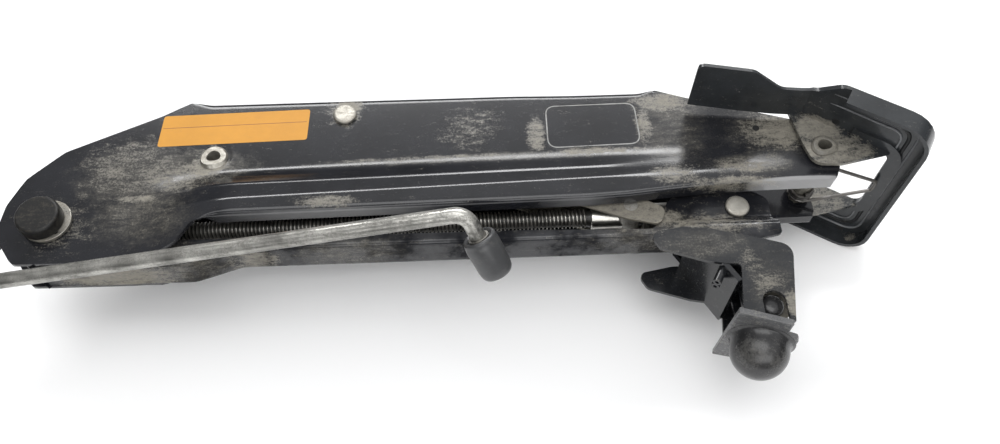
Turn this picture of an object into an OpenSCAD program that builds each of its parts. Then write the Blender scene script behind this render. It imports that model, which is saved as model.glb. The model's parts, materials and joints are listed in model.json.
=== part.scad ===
// Folding half-scissor car jack, lying on its side as it is stowed.
// The hinge axes run along Z, the arms run along X and the closed web of the
// column faces +Y. Sizes are in millimetres. Inside the modules the main pivot
// lies at x = 0, y = 0; the finished part is moved so that the bore of the
// stowage tube lies at the origin.

/* [Column] */
// Thickness of the column's sheet steel
col_t = 2.5; // [2:0.1:3.2]
// Half width of the column over its flanks at the main pivot
hub_z = 16.2; // [15.8:0.1:18]
// Half width of the column over its lower flanks and its foot end
wide_z = 28.5; // [26:0.5:32]
// Height of the column's closed web above the main pivot
web_y = 93; // [88:1:100]
// Drop of the web from its tail end to its head end
web_drop = 7; // [2:1:10]
// Distance from the main pivot to the column's foot pivot along X
foot_x = 499; // [480:1:520]
// Height of the foot pivot above the main pivot
foot_y = 29; // [26:1:34]
// Width of the inturned lips along the column's open side
lip_w = 10.5; // [8:0.5:11.5]

/* [Pivots] */
// Distance from the main pivot to the strut rivet along X
strut_x = 186; // [180:1:192]
// Height of the strut rivet above the main pivot
strut_y = 76; // [72:0.5:77]
// Diameter of the strut rivet's shank
strut_pin_d = 11; // [9:0.5:12]
// Diameter of the strut rivet's heads
strut_head_d = 15.6; // [14:0.2:17]
// Distance from the main pivot to the stowage tube along X
tube_x = 101; // [96:1:106]
// Height of the stowage tube above the main pivot
tube_y = 46; // [43:1:50]
// Outer diameter of the stowage tube
tube_d = 13; // [12:0.5:15]
// Bore of the stowage tube
tube_bore = 8.6; // [7:0.2:9.6]
// Diameter of the turned-over ends of the stowage tube
tube_lip_d = 18; // [16.5:0.5:20]
// Diameter of the trunnion's journals
journal_d = 20; // [18:0.5:21]
// Diameter of the black cap on the near end of the trunnion
cap_d = 27.4; // [25:0.2:29]
// Height of the cap above the column's flank
cap_h = 12; // [8:0.5:14]
// Bore of the foot's hollow rivet
foot_bore = 8.4; // [6:0.2:9.4]
// Outer diameter of the foot's hollow rivet
foot_rivet_d = 12.4; // [11.5:0.2:14]

/* [Carrying arm] */
// Thickness of the arm's sheet steel
arm_t = 2.4; // [2:0.1:3]
// Half width of the arm over its flanks
arm_z = 12.6; // [12:0.1:12.9]
// Distance of the arm's web from the main pivot, along the middle
arm_web_y = 22; // [20:0.5:24]
// Distance of the arm's web from the main pivot, under the hub
arm_tail_y = 31.5; // [30:0.5:34]
// Distance from the main pivot to the head pin along X
head_x = 441; // [432:1:448]
// Distance of the head pin below the main pivot
head_y = 3; // [2:0.5:5]
// Diameter of the head pin
head_pin_d = 10; // [8:0.5:11]

/* [Strut] */
// Thickness of the strut's sheet steel
strut_t = 2.2; // [1.8:0.1:2.2]
// Half height of the strut's flanks
strut_r = 10.5; // [9.5:0.25:11]

/* [Spindle] */
// Outside diameter of the spindle's thread
screw_d = 12.7; // [11:0.1:13.4]
// Diameter of the spindle's plain shank
shank_d = 12; // [10:0.1:12.6]
// Distance from the main pivot to the crank's eye at the tail of the spindle
eye_x = 47; // [44:1:56]

/* [Crank] */
// Diameter of the crank's rod
rod_d = 9.6; // [8:0.1:10]
// Distance from the crank's pivot to the bend before the grip
rod_len = 313; // [295:1:320]
// Offset of the rod from the spindle's axis
rod_offset = 44.5; // [42:0.5:47]
// Rise of the rod over its length
rod_rise = 55; // [48:1:60]
// Diameter of the grip at its open end
grip_d = 21; // [19:0.5:24]
// Length of the grip
grip_len = 27; // [24:1:36]

/* [Head] */
// Thickness of the head bracket's sheet steel
head_t = 2.6; // [2:0.1:3]
// Half width of the head bracket over its flanks
head_z = 28; // [27:0.5:30]
// Radius of the dome that enters the vehicle's jacking point
dome_r = 18; // [16:0.5:19]

/* [Foot] */
// Thickness of the foot's sheet steel
foot_t = 2.6; // [2:0.1:3]
// Half width of the foot's sole
sole_z = 70; // [62:1:76]
// Depth of the sole's turned rim
rim_h = 14; // [9:0.5:16]
// Diameter of the foot spring's wire
wire_d = 2.4; // [1.8:0.1:2.8]

/* [Hidden] */
run = 0.05;      // radial clearance of a running fit
gap = 0.3;       // clearance between pieces that move past each other
clip_t = 2.4;    // thickness of the trunnion's clips
$fn = 48;

strut_len = norm([strut_x, strut_y]);
node_x = 2 * strut_x;                       // strut's lower pivot, on the spindle's axis
flare_x = 60;                               // where the flanks begin to flare
flare = (wide_z - hub_z) / (foot_x + 11 - flare_x);
web_x0 = 72;                                // tail end of the web
web_x1 = 398;                               // head end of the web
lip_x0 = 92;                                // tail end of the lips
lip_rise = 0.0145;                          // slope of the column's open edge
function flank_z(x) = hub_z + flare * max(0, x - flare_x);
function web_at(x) = web_y - web_drop * (x - web_x0) / (web_x1 - web_x0);
function lip_at(x) = -5 + lip_rise * (x - lip_x0);

strut_out = arm_z + gap + strut_t;          // half width over the strut
lip_z = wide_z - lip_w;                     // inner edge of the lips

module both_sides() {
    children();
    mirror([0, 0, 1]) children();
}

// A rod or a tube along Z, centred on the middle plane
module cross_rod(d, z) cylinder(d = d, h = 2 * z, center = true);

function unit(v) = v / norm(v);
// Corner p of an outline between its neighbours a and b, rounded by r
function corner(p, a, b, r, n = 6) =
    let(u = unit(a - p), w = unit(b - p), half = acos(max(-1, min(1, u * w))) / 2)
    let(reach = min(r / tan(half), 0.49 * norm(a - p), 0.49 * norm(b - p)))
    let(rr = reach * tan(half), c = p + unit(u + w) * rr / sin(half))
    let(s = p + u * reach - c, e = p + w * reach - c)
    let(a0 = atan2(s[1], s[0]), turn = atan2(s[0] * e[1] - s[1] * e[0], s * e))
    r <= 0 || abs(half - 90) < 0.5 ? [p] :
        [for (i = [0:n]) c + rr * [cos(a0 + turn * i / n), sin(a0 + turn * i / n)]];
// A round-cornered outline from points with a radius each
function rounded(pts) = let(m = len(pts))
    [for (i = [0:m - 1])
        each corner([pts[i][0], pts[i][1]], [pts[(i + m - 1) % m][0], pts[(i + m - 1) % m][1]],
            [pts[(i + 1) % m][0], pts[(i + 1) % m][1]], pts[i][2])];

// ---------------------------------------------------------------- column

// Outline of the column's flank: [x, y, corner radius]
flank_line = [[-14, -29, 4], [-29, -8, 8], [-27, 14, 14], [-19, 34, 12], [2, 55, 14], [62, 83, 10],
    [web_x0, web_at(web_x0), 0], [web_x1, web_at(web_x1), 0], [web_x1 + 26, web_at(web_x1) - 10, 8],
    [473, 59, 8], [foot_x - 8, 53, 14], [foot_x + 11, foot_y - 8, 12],
    [foot_x + 5, lip_at(foot_x + 5), 0], [lip_x0 + 12, lip_at(lip_x0 + 12), 0],
    [lip_x0 + 2, -8, 8], [lip_x0 - 6, -20, 14], [lip_x0 - 24, -28.5, 12], [50, -29.5, 4]];

ramp_x = 118;                               // where the lower flank reaches its full width
step_low = 20;                              // lower edge of the pressed step
step_rise = 0.55;                           // slope of the pressed step
seat_d = tube_lip_d + 3;                    // diameter of the dimple for the stowage tube's lip

// Solids drawn in the XZ plane and in the YZ plane, long enough to be cut
module prism_xz(from, to) translate([0, to, 0]) rotate([90, 0, 0]) linear_extrude(to - from) children();
module prism_yz(from, to) translate([from, 0, 0]) rotate([90, 0, 90]) linear_extrude(to - from) children();

// Everything inside the near flank's face, set in by d: hub, flare, wide lower part and step
module flank_fill(d) {
    far_x = foot_x + 20;
    difference() {
        union() {
            prism_xz(-40, 110) polygon([[-40, 0], [-40, hub_z - d], [flare_x, hub_z - d],
                [far_x, flank_z(far_x) - d], [far_x, 0]]);
            intersection() {
                prism_xz(-40, 80) polygon([[flare_x - 8, 0], [flare_x, hub_z - d],
                    [ramp_x, wide_z - d], [far_x, wide_z - d], [far_x, 0]]);
                prism_yz(0, far_x) polygon([[-40, 0], [-40, wide_z + 9], [step_low - 9 / step_rise, wide_z + 9 - d],
                    [step_low + (wide_z - d) / step_rise, 0]]);
            }
        }
        translate([tube_x, tube_y, flank_z(tube_x) - d]) cylinder(d = seat_d + 2 * d, h = 30);
    }
}

module column_flank() {
    intersection() {
        linear_extrude(40) polygon(rounded(flank_line));
        difference() {
            flank_fill(0);
            flank_fill(col_t);
        }
    }
}

// A lip along the column's open side
module column_lip() {
    x0 = lip_x0 + 4;
    x1 = foot_x + 5;
    intersection() {
        translate([0, 0, lip_z]) linear_extrude(lip_w) polygon([[x0, lip_at(x0)], [x1, lip_at(x1)],
            [x1, lip_at(x1) + col_t], [x0, lip_at(x0) + col_t]]);
        prism_xz(-20, 20) polygon([[x0 + 16, lip_z], [x0 + 26, wide_z], [x1, wide_z], [x1, lip_z + 2],
            [x1 - 4, lip_z]]);
    }
}

module column_web() {
    intersection() {
        linear_extrude(2 * wide_z, center = true) polygon([[web_x0, web_at(web_x0)],
            [web_x1, web_at(web_x1)], [web_x1, web_at(web_x1) - col_t], [web_x0, web_at(web_x0) - col_t]]);
        prism_xz(60, 110) polygon([[web_x0, flank_z(web_x0)], [web_x1, flank_z(web_x1)],
            [web_x1, -flank_z(web_x1)], [web_x0, -flank_z(web_x0)]]);
    }
}

module column_channel() {
    color([0.10, 0.10, 0.11]) difference() {
        union() {
            both_sides() column_flank();
            both_sides() column_lip();
            column_web();
            translate([foot_x - 20, lip_at(foot_x) + 0.1, -lip_z - 1])
                cube([14, col_t - 0.2, 2 * lip_z + 2]);
        }
        cross_rod(journal_d + 2 * run, 60);
        translate([tube_x, tube_y, 0]) cross_rod(tube_d, 60);
        translate([strut_x, strut_y, 0]) cross_rod(strut_pin_d, 60);
        translate([foot_x, foot_y, 0]) cross_rod(foot_rivet_d, 60);
    }
}

// Tube through both flanks with its ends turned over, open for the stowage bolt
module stowage_tube() {
    z = flank_z(tube_x);
    color([0.62, 0.62, 0.60]) translate([tube_x, tube_y, 0]) difference() {
        union() {
            cross_rod(tube_d, z + 2.4);
            both_sides() translate([0, 0, z + 0.2]) cylinder(d1 = tube_lip_d, d2 = tube_d + 2, h = 2.2);
        }
        cross_rod(tube_bore, z + 5);
    }
}

// Solid rivet that carries the strut
module strut_rivet() {
    z = flank_z(strut_x) + 0.25;
    color([0.66, 0.65, 0.61]) translate([strut_x, strut_y, 0]) {
        cross_rod(strut_pin_d, z);
        both_sides() translate([0, 0, z]) {
            cylinder(d = strut_head_d, h = 2);
            translate([0, 0, 2]) cylinder(d1 = strut_head_d, d2 = strut_head_d - 3, h = 1);
        }
    }
}

ear_z = wide_z + 1.4;                       // inner face of the foot's ears
// Hollow rivet that carries the foot
module foot_rivet() {
    z = ear_z + foot_t;
    color([0.20, 0.19, 0.18]) translate([foot_x, foot_y, 0]) difference() {
        union() {
            cross_rod(foot_rivet_d, z + 2.4);
            both_sides() translate([0, 0, z + gap]) cylinder(d1 = 17, d2 = foot_rivet_d + 1, h = 2.1);
        }
        cylinder(d = foot_bore, h = 2 * z + 20, center = true);
    }
}

// Washers between the column and the foot's ears
module foot_spacers() {
    color([0.35, 0.34, 0.32]) translate([foot_x, foot_y, 0]) both_sides()
        translate([0, 0, wide_z]) difference() {
            cylinder(d = 22, h = ear_z - wide_z - gap);
            translate([0, 0, -1]) cylinder(d = foot_rivet_d, h = 5);
        }
}

// ---------------------------------------------------------------- carrying arm

arm_in = arm_z - arm_t;                     // inner face of the arm's flanks
arm_lip_y = 13.5;                           // upper edge of the arm's flanks below the spindle
arm_end_x = 402;                            // where the arm widens for the head
arm_line = [[-23, -14, 8], [-22, 14, 12], [0, 25, 14], [24, 18, 14], [72, -arm_lip_y, 12],
    [arm_end_x - 17, -arm_lip_y, 6], [arm_end_x - 4, 6, 8], [head_x + 12, 9, 4],
    [head_x + 21, 3, 6], [head_x + 21, -12, 0], [arm_end_x, -12, 2], [arm_end_x - 4, -arm_web_y, 0],
    [120, -arm_web_y, 12], [92, -arm_tail_y, 12], [-2, -arm_tail_y, 0]];
// Outer line of the arm's web and, one thickness in, its inner line
arm_web_line = [[-2, -arm_tail_y], [88, -arm_tail_y], [95, -arm_tail_y + 1.5],
    [114, -arm_web_y - 1.5], [121, -arm_web_y], [arm_end_x - 4, -arm_web_y + 1]];
skirt_z = head_z - head_t - gap - 1;        // outer face of the arm's widened end
skirt_low = 34;                             // lower edge of the widened end

// Cross-section of one side of the widened end: [y, z]
skirt_section = [[-4, arm_z], [-12, arm_z], [-19, skirt_z], [-skirt_low - 4, skirt_z],
    [-skirt_low - 4, skirt_z - arm_t], [-20.6, skirt_z - arm_t], [-13.4, arm_in], [-4, arm_in]];

module carrying_arm() {
    color([0.09, 0.09, 0.10]) difference() {
        union() {
            both_sides() translate([0, 0, arm_in]) linear_extrude(arm_t)
                polygon(rounded(arm_line));
            translate([0, 0, -arm_z]) linear_extrude(2 * arm_z) polygon(concat(arm_web_line,
                [for (i = [len(arm_web_line) - 1:-1:0]) arm_web_line[i] + [0, arm_t]]));
            both_sides() intersection() {
                translate([arm_end_x, 0, 0]) rotate([90, 0, 90])
                    linear_extrude(head_x + 21 - arm_end_x) polygon(skirt_section);
                linear_extrude(60) polygon(rounded([[arm_end_x, 10, 0], [head_x + 21, 10, 0],
                    [head_x + 21, -skirt_low, 3], [head_x - 4, -skirt_low - 1, 10],
                    [arm_end_x, -20, 2]]));
            }
        }
        cross_rod(journal_d, 60);
        translate([head_x, -head_y, 0]) cross_rod(head_pin_d, 60);
    }
}

// The spindle's nut: a barrel whose journals are the main pivot
module nut_trunnion() {
    far = hub_z + gap + clip_t;
    color([0.32, 0.31, 0.29]) difference() {
        union() {
            translate([0, 0, -far]) cylinder(d = journal_d, h = far + hub_z + gap + clip_t);
            cross_rod(26, arm_in);
            translate([0, 0, hub_z]) cylinder(d = 12, h = 9);
            translate([0, 0, -far - 3]) cylinder(d = 25, h = 3);
        }
        rotate([0, 90, 0]) cylinder(d = screw_d + 2 * run, h = 80, center = true);
    }
}

// Black cap pressed on the near end of the trunnion
module trunnion_cap() {
    low = hub_z + gap + clip_t;
    color([0.07, 0.07, 0.07]) difference() {
        union() {
            translate([0, 0, low]) cylinder(d = cap_d, h = cap_h - clip_t - 1.2);
            translate([0, 0, low + cap_h - clip_t - 1.2])
                cylinder(d1 = cap_d, d2 = cap_d - 2.4, h = 1.2);
        }
        translate([0, 0, low - 1]) cylinder(d = 12, h = hub_z + 10 - low);
    }
}

// Steel clips in the journals' grooves, one on each side
module trunnion_clip() {
    color([0.60, 0.60, 0.58]) both_sides() translate([0, 0, hub_z + gap]) difference() {
        linear_extrude(clip_t) difference() {
            translate([2.4, 0.6]) circle(d = cap_d + 3);
            translate([-20, -5]) square([14, 10]);
        }
        translate([0, 0, -1]) cylinder(d = journal_d, h = clip_t + 2);
    }
}

// Pin that the head swivels on, with its two heads
module head_pin() {
    color([0.68, 0.67, 0.63]) translate([head_x, -head_y, 0]) {
        cross_rod(head_pin_d, arm_z);
        both_sides() translate([0, 0, arm_z]) {
            cylinder(d = 15.6, h = 1.6);
            translate([0, 0, 1.6]) cylinder(d1 = 15.6, d2 = 13.4, h = 0.8);
        }
    }
}

// ---------------------------------------------------------------- strut

strut_a = atan2(strut_y, strut_x);          // angle of the strut below the X axis
strut_tail = 22;                            // length of the strut past its lower pivot
stub_d = 9;                                 // diameter of the thrust block's stubs

// The strut is drawn along X from its rivet and then turned down to its place
module strut_channel() {
    web_from = 16;
    web_to = strut_len - 62;
    color([0.16, 0.15, 0.14]) translate([strut_x, strut_y, 0]) rotate([0, 0, -strut_a])
        difference() {
            union() {
                both_sides() translate([0, 0, strut_out - strut_t]) linear_extrude(strut_t)
                    polygon(rounded([[-strut_r, -strut_r, strut_r], [-strut_r, strut_r, strut_r],
                        [strut_len - 20, strut_r, 20], [strut_len + strut_tail, strut_r - 5, 5],
                        [strut_len + strut_tail, -strut_r + 3, 5], [strut_len, -strut_r, 20]]));
                translate([web_from, strut_r - strut_t, -strut_out])
                    cube([web_to - web_from, strut_t, 2 * strut_out]);
            }
            cross_rod(strut_pin_d + 2 * run, 60);
            translate([strut_len, 0, 0]) cross_rod(stub_d + 2 * run, 60);
        }
}

// Washers between the strut and the column
module strut_washers() {
    z0 = strut_out + gap;
    z1 = flank_z(strut_x) - col_t - 0.3;
    color([0.45, 0.44, 0.42]) translate([strut_x, strut_y, 0]) both_sides()
        translate([0, 0, z0]) difference() {
            cylinder(d = 2 * strut_r - 1, h = z1 - z0);
            translate([0, 0, -1]) cylinder(d = strut_pin_d, h = 9);
        }
}

// ---------------------------------------------------------------- thrust block and spindle

block_d = 17;                               // diameter of the thrust block's barrel
module thrust_block() {
    color([0.42, 0.41, 0.39]) translate([node_x, 0, 0]) difference() {
        union() {
            cross_rod(block_d, strut_out - strut_t - gap);
            cross_rod(stub_d, strut_out);
        }
        rotate([0, 90, 0]) cylinder(d = shank_d + 2 * run, h = 80, center = true);
    }
}

washer_x = node_x + block_d / 2 + gap;      // seat of the thrust washers
washer_t = 2;
collar_x = washer_x + 2 * washer_t;
collar_len = 13;
shank_x = node_x - 26;                      // where the thread ends
eye_r = 12.5;                               // radius of the crank's eye
eye_h = 11;                                 // height of the crank's eye
screw_x = -eye_x + eye_r + 1.5;             // tail end of the spindle, where the eye's neck is welded

module along_x(x) translate([x, 0, 0]) rotate([0, 90, 0]) children();

// Two hardened washers between the block and the collar
module thrust_washers() {
    color([0.58, 0.57, 0.54]) for (i = [0, 1]) along_x(washer_x + i * washer_t) difference() {
        cylinder(d = 19 - 2 * i, h = washer_t);
        translate([0, 0, -1]) cylinder(d = shank_d, h = washer_t + 2);
    }
}

module spindle_screw() {
    color([0.40, 0.38, 0.35]) difference() {
        union() {
            along_x(screw_x) cylinder(d = screw_d, h = shank_x - screw_x);
            along_x(shank_x) cylinder(d = shank_d, h = collar_x + collar_len + 2 - shank_x);
        }
        collar_hole();
    }
}

pin_d = 4;                                  // diameter of the collar's pin
module collar_hole() translate([collar_x + collar_len / 2, 0, 0])
    rotate([90, 0, 0]) cylinder(d = pin_d, h = 60, center = true);

// Collar that draws the block towards the main pivot
module spindle_collar() {
    color([0.50, 0.49, 0.46]) difference() {
        along_x(collar_x) cylinder(d = 17.5, h = collar_len);
        along_x(collar_x - 1) cylinder(d = shank_d, h = collar_len + 2);
        collar_hole();
    }
}

module collar_pin() {
    color([0.55, 0.54, 0.52]) translate([collar_x + collar_len / 2, 0, 0])
        rotate([90, 0, 0]) cylinder(d = pin_d, h = 18.5, center = true);
}

module spindle_eye() {
    color([0.48, 0.47, 0.44]) translate([-eye_x, 0, 0]) difference() {
        union() {
            cross_rod(2 * eye_r, eye_h / 2);
            along_x(0) cylinder(d = 10, h = screw_x + eye_x);
        }
        cross_rod(rod_d + 2 * run, 40);
    }
}

// ---------------------------------------------------------------- crank

// Points of a polyline with every inner corner rounded by radius r
function bend(a, p, b, r, n = 7) =
    let(u = unit(a - p), w = unit(b - p), half = acos(u * w) / 2, reach = r / tan(half))
    let(c = p + unit(u + w) * r / sin(half), s = p + u * reach - c, e = p + w * reach - c)
    let(full = 180 - 2 * half)
    [for (i = [0:n]) c + (s * sin(full * (1 - i / n)) + e * sin(full * i / n)) / sin(full)];
function fillets(pts, r) = [pts[0],
    for (i = [1:len(pts) - 2]) each bend(pts[i - 1], pts[i], pts[i + 1], r), pts[len(pts) - 1]];

// Rings carried along a path without twist
function tangents(p) = [for (i = [0:len(p) - 1])
    unit(unit(p[min(i + 1, len(p) - 1)] - p[max(i - 1, 0)]))];
function carry(t, n, i = 1) = i == len(t) ? n :
    carry(t, concat(n, [unit(n[i - 1] - t[i] * (n[i - 1] * t[i]))]), i + 1);
module sweep(path, d, sides = 14) {
    t = tangents(path);
    first = abs(t[0][2]) < 0.9 ? cross(t[0], [0, 0, 1]) : cross(t[0], [0, 1, 0]);
    n = carry(t, [unit(first)]);
    pts = [for (i = [0:len(path) - 1], k = [0:sides - 1])
        let(a = 360 * k / sides, b = cross(t[i], n[i]))
        path[i] + d / 2 * (n[i] * cos(a) + b * sin(a))];
    m = len(path);
    polyhedron(pts, concat([[for (k = [0:sides - 1]) k]],
        [[for (k = [sides - 1:-1:0]) (m - 1) * sides + k]],
        [for (i = [0:m - 2], k = [0:sides - 1]) let(j = (k + 1) % sides)
            [i * sides + k, (i + 1) * sides + k, (i + 1) * sides + j]],
        [for (i = [0:m - 2], k = [0:sides - 1]) let(j = (k + 1) % sides)
            [i * sides + k, (i + 1) * sides + j, i * sides + j]]));
}

leg_z = 17.5;                               // height of the crank's leg above the middle plane
rod_lean = 6.5;                             // how far the rod closes in on the spindle's axis
bend_p = [-eye_x + rod_len, -rod_offset + rod_lean, leg_z + rod_rise];
grip_dir = unit([0.42, -0.5, -0.757]);
grip_from = 16;                             // distance of the grip from the bend
crank_path = fillets([[-eye_x, 0, eye_h / 2 + 3], [-eye_x, 0, leg_z], [-eye_x, -rod_offset, leg_z],
    bend_p, bend_p + grip_dir * (grip_from + grip_len - 4)], 8.5);

module crank_rod() {
    color([0.55, 0.55, 0.53]) {
        sweep(crank_path, rod_d);
        translate([-eye_x, 0, -eye_h / 2 - 3]) cylinder(d = rod_d, h = eye_h + gap + 4.9);
        translate([-eye_x, 0, eye_h / 2 + gap + 1.6 + gap]) cylinder(d = rod_d + 2, h = 1.8);
        translate([-eye_x, 0, -eye_h / 2 - 5.5]) cylinder(d = rod_d + 4, h = 2.5);
    }
}

// Washers on both sides of the crank's eye
module crank_washers() {
    color([0.60, 0.60, 0.57]) translate([-eye_x, 0, 0]) both_sides()
        translate([0, 0, eye_h / 2 + gap]) difference() {
            cylinder(d = 16, h = 1.6);
            translate([0, 0, -1]) cylinder(d = rod_d + 0.1, h = 4);
        }
}

module on_grip() translate(bend_p) rotate([0, acos(grip_dir[2]), atan2(grip_dir[1], grip_dir[0])])
    children();

// Free-turning grip, moulded as a tapered cup
module crank_grip() {
    color([0.11, 0.11, 0.12]) on_grip() difference() {
        rotate_extrude() polygon([[0, grip_from + grip_len], [grip_d / 2 - 3, grip_from + grip_len],
            [grip_d / 2 - 1, grip_from + grip_len - 1.5], [grip_d / 2, grip_from + 4],
            [grip_d / 2 - 0.6, grip_from + 1], [grip_d / 2 - 2, grip_from],
            [grip_d / 2 - 3.4, grip_from + 1.6], [0, grip_from + 1.6]]);
        translate([0, 0, grip_from - 1]) cylinder(d = rod_d + 0.7, h = grip_len - 1.5);
    }
}

module grip_clip() {
    color([0.50, 0.50, 0.48]) on_grip() translate([0, 0, grip_from + 0.2]) difference() {
        cylinder(d = rod_d + 3, h = 1.1);
        translate([0, 0, -1]) cylinder(d = rod_d + 0.4, h = 4);
    }
}

// ---------------------------------------------------------------- head

head_low = 86.6;                            // distance of the saddle plate below the main pivot
saddle_a = -17.2;                           // tilt of the saddle plate
function saddle_at(x) = -head_low + 0.01 + tan(saddle_a) * (x - head_x);
head_line = [[378, -29, 5], [405, -24, 20], [451, -36.5, 10], [465, -41, 9],
    [456, saddle_at(456), 0], [427, saddle_at(427), 0], [431, -52, 3], [424, -52, 5],
    [411, -49.5, 3], [384, -40, 6]];

head_web_line = [[405.5, -26.5], [427, -64]];

module head_bracket() {
    color([0.13, 0.13, 0.14]) difference() {
        union() {
            both_sides() translate([0, 0, head_z - head_t]) linear_extrude(head_t)
                polygon(rounded(head_line));
            translate([0, 0, -head_z + 0.5]) linear_extrude(2 * head_z - 1)
                polygon(concat(head_web_line, [[430, -62.5], [408.3, -25.5]]));
        }
        both_sides() translate([446, -78, head_z - 10]) {
            cylinder(d = 14, h = 20);
            translate([-7, -22, 0]) cube([14, 22, 20]);
        }
    }
}

yoke_z = arm_in - gap;                      // outer face of the head's inner yoke
module head_yoke() {
    t = 2.5;
    color([0.22, 0.21, 0.19]) difference() {
        union() {
            both_sides() translate([0, 0, yoke_z - t]) linear_extrude(t)
                polygon(rounded([[head_x - 9, -head_y + 9, 9], [head_x + 9, -head_y + 9, 9],
                    [head_x + 10, -50, 6], [head_x + 13, saddle_at(head_x + 13), 0],
                    [head_x - 8, saddle_at(head_x - 8), 0], [head_x - 10, -40, 6]]));
            translate([head_x + 5.5, -76, -yoke_z]) cube([t, 40, 2 * yoke_z]);
        }
        translate([head_x, -head_y, 0]) cross_rod(head_pin_d + 2 * run, 60);
    }
}

module on_saddle() translate([head_x, -head_low, 0]) rotate([0, 0, saddle_a]) children();

plate_t = 4;
dome_h = 6.5;                               // height of the dome's cylindrical root
module saddle_plate() {
    color([0.30, 0.30, 0.29]) on_saddle()
        rotate([90, 0, 0]) linear_extrude(plate_t) polygon([[-17.5, head_z + 1.5], [14.5, head_z + 1.5],
            [14.5, 14], [21, 13], [22.5, 10], [22.5, -10], [21, -13], [14.5, -14],
            [14.5, -head_z - 1.5], [-20, -head_z - 6]]);
}

module saddle_dome() {
    color([0.16, 0.16, 0.17]) on_saddle() translate([2.5, -plate_t - 0.01, 0]) rotate([90, 0, 0])
        rotate_extrude() intersection() {
            union() {
                translate([0, dome_h]) circle(r = dome_r, $fn = 64);
                square([dome_r, dome_h]);
                polygon([[0, 0], [dome_r + 3, 0], [dome_r + 0.8, 1.2], [dome_r, 3.5], [0, 3.5]]);
            }
            square([dome_r + 4, dome_r + dome_h + 1]);
        }
}

// Rivets that hold the yoke and the bracket together
module saddle_rivets() {
    color([0.30, 0.29, 0.27]) both_sides() translate([447, -77, yoke_z]) {
        cylinder(d = 8, h = 8);
        translate([0, 0, 8]) cylinder(d1 = 13, d2 = 9, h = 3.5);
    }
}

// Rolled stop on the web, two turns wide
module head_stop() {
    reach = 13;
    color([0.17, 0.17, 0.17]) difference() {
        translate([422.3, -50.4, head_z - head_t - 8.4]) rotate([90, 0, -30.4]) for (z = [0, 5.2])
            translate([0, z, 0]) difference() {
                cylinder(d = 5.4, h = reach);
                translate([0, 0, reach - 4]) cylinder(d = 2.4, h = 5);
            }
        linear_extrude(head_z) polygon(concat(head_web_line, [[440, -64], [440, -26.5]]));
    }
}

// ---------------------------------------------------------------- foot

sole_from = [-8, 29];                       // where the ground plane begins
sole_to = [65, -16.465];                    // end of the ground plane, past the closed end
sole_a = atan2(sole_to[1] - sole_from[1], sole_to[0] - sole_from[0]);
sole_pts = [[-82, 41], [-49, 34.5], [-28, 31], sole_from, sole_to];
window_z = ear_z + foot_t / 2;              // half width of the window, at the ears' roots
ring_from = 22;                             // start of the turned rim along the ground plane
ring_to = 80;                               // closed end of the foot along the ground plane
ring_r = 20;                                // corner radius of the closed end
window_to = 62;                             // end of the window towards the closed end
bead_w = 9;                                 // width of the bead round the window
bead_h = 1.8;                               // height of the bead above the sheet
wing_z = sole_z - 14;                       // half width of the neck between wing and ring

module on_foot() translate([foot_x, foot_y, 0]) children();
// Solids drawn on the ground plane: X along the sole, Y out of it, between two depths
module on_sole(from, to) translate([sole_from[0], sole_from[1], 0]) rotate([0, 0, sole_a])
    translate([0, to, 0]) rotate([90, 0, 0]) linear_extrude(to - from) children();

// The sole's profile from the wing's tip to its closed end, thick d inwards
module sole_strip(d) {
    inward = d * [sin(sole_a), -cos(sole_a)];
    polygon(concat(sole_pts, [for (i = [len(sole_pts) - 1:-1:0]) sole_pts[i] + inward]));
}

// Outline of the foot seen along Y, without its window
module sole_plan() {
    rotate([90, 0, 0]) linear_extrude(200, center = true) polygon(rounded([
        [-83, window_z, 0], [-83, sole_z, 5], [-48, sole_z, 10], [-28, wing_z, 12], [-8, wing_z, 12],
        [6, sole_z, 8], [90, sole_z, 0], [90, -sole_z, 0], [6, -sole_z, 8], [-8, -wing_z, 12],
        [-28, -wing_z, 12], [-48, -sole_z, 10], [-83, -sole_z, 5], [-83, -window_z, 0],
        [28, -window_z, 0], [28, window_z, 0]]));
}

// The closed end's outline on the ground plane, set in by d
module ring_plan(from, d) polygon(rounded([[from, sole_z - d, 0], [ring_to - d, sole_z - d, ring_r - d],
    [ring_to - d, d - sole_z, ring_r - d], [from, d - sole_z, 0]]));
module window_plan(from, d) polygon(rounded([[from, window_z + d, 0],
    [window_to + d, window_z + d, 8 + d], [window_to + d, -window_z - d, 8 + d], [from, -window_z - d, 0]]));

module foot_plate() {
    ear_top = [[-17, 28.6, 0], [-8, 28, 0]];
    color([0.12, 0.13, 0.13]) on_foot() difference() {
        union() {
            difference() {
                intersection() {
                    linear_extrude(2 * sole_z, center = true) sole_strip(foot_t);
                    sole_plan();
                }
                on_sole(-20, 20) window_plan(-40, 0);
                on_sole(-20, 20) difference() {
                    translate([ring_from, -100]) square([100, 200]);
                    ring_plan(0, 0);
                }
            }
            on_sole(-rim_h, -foot_t / 2) difference() {
                ring_plan(ring_from, 0);
                ring_plan(ring_from - 1, foot_t);
            }
            on_sole(-foot_t - bead_h, -foot_t / 2) difference() {
                window_plan(ring_from + 12, bead_w);
                window_plan(0, 0);
            }
            both_sides() translate([0, 0, ear_z]) linear_extrude(foot_t)
                polygon(rounded([each ear_top, [48.4, -6.8, 0], [44, -6.5, 3], [9, -14, 10],
                    [-9, -13, 9], [-13, 2, 8]]));
        }
        cross_rod(foot_rivet_d + 2 * run, 90);
    }
}

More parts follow.
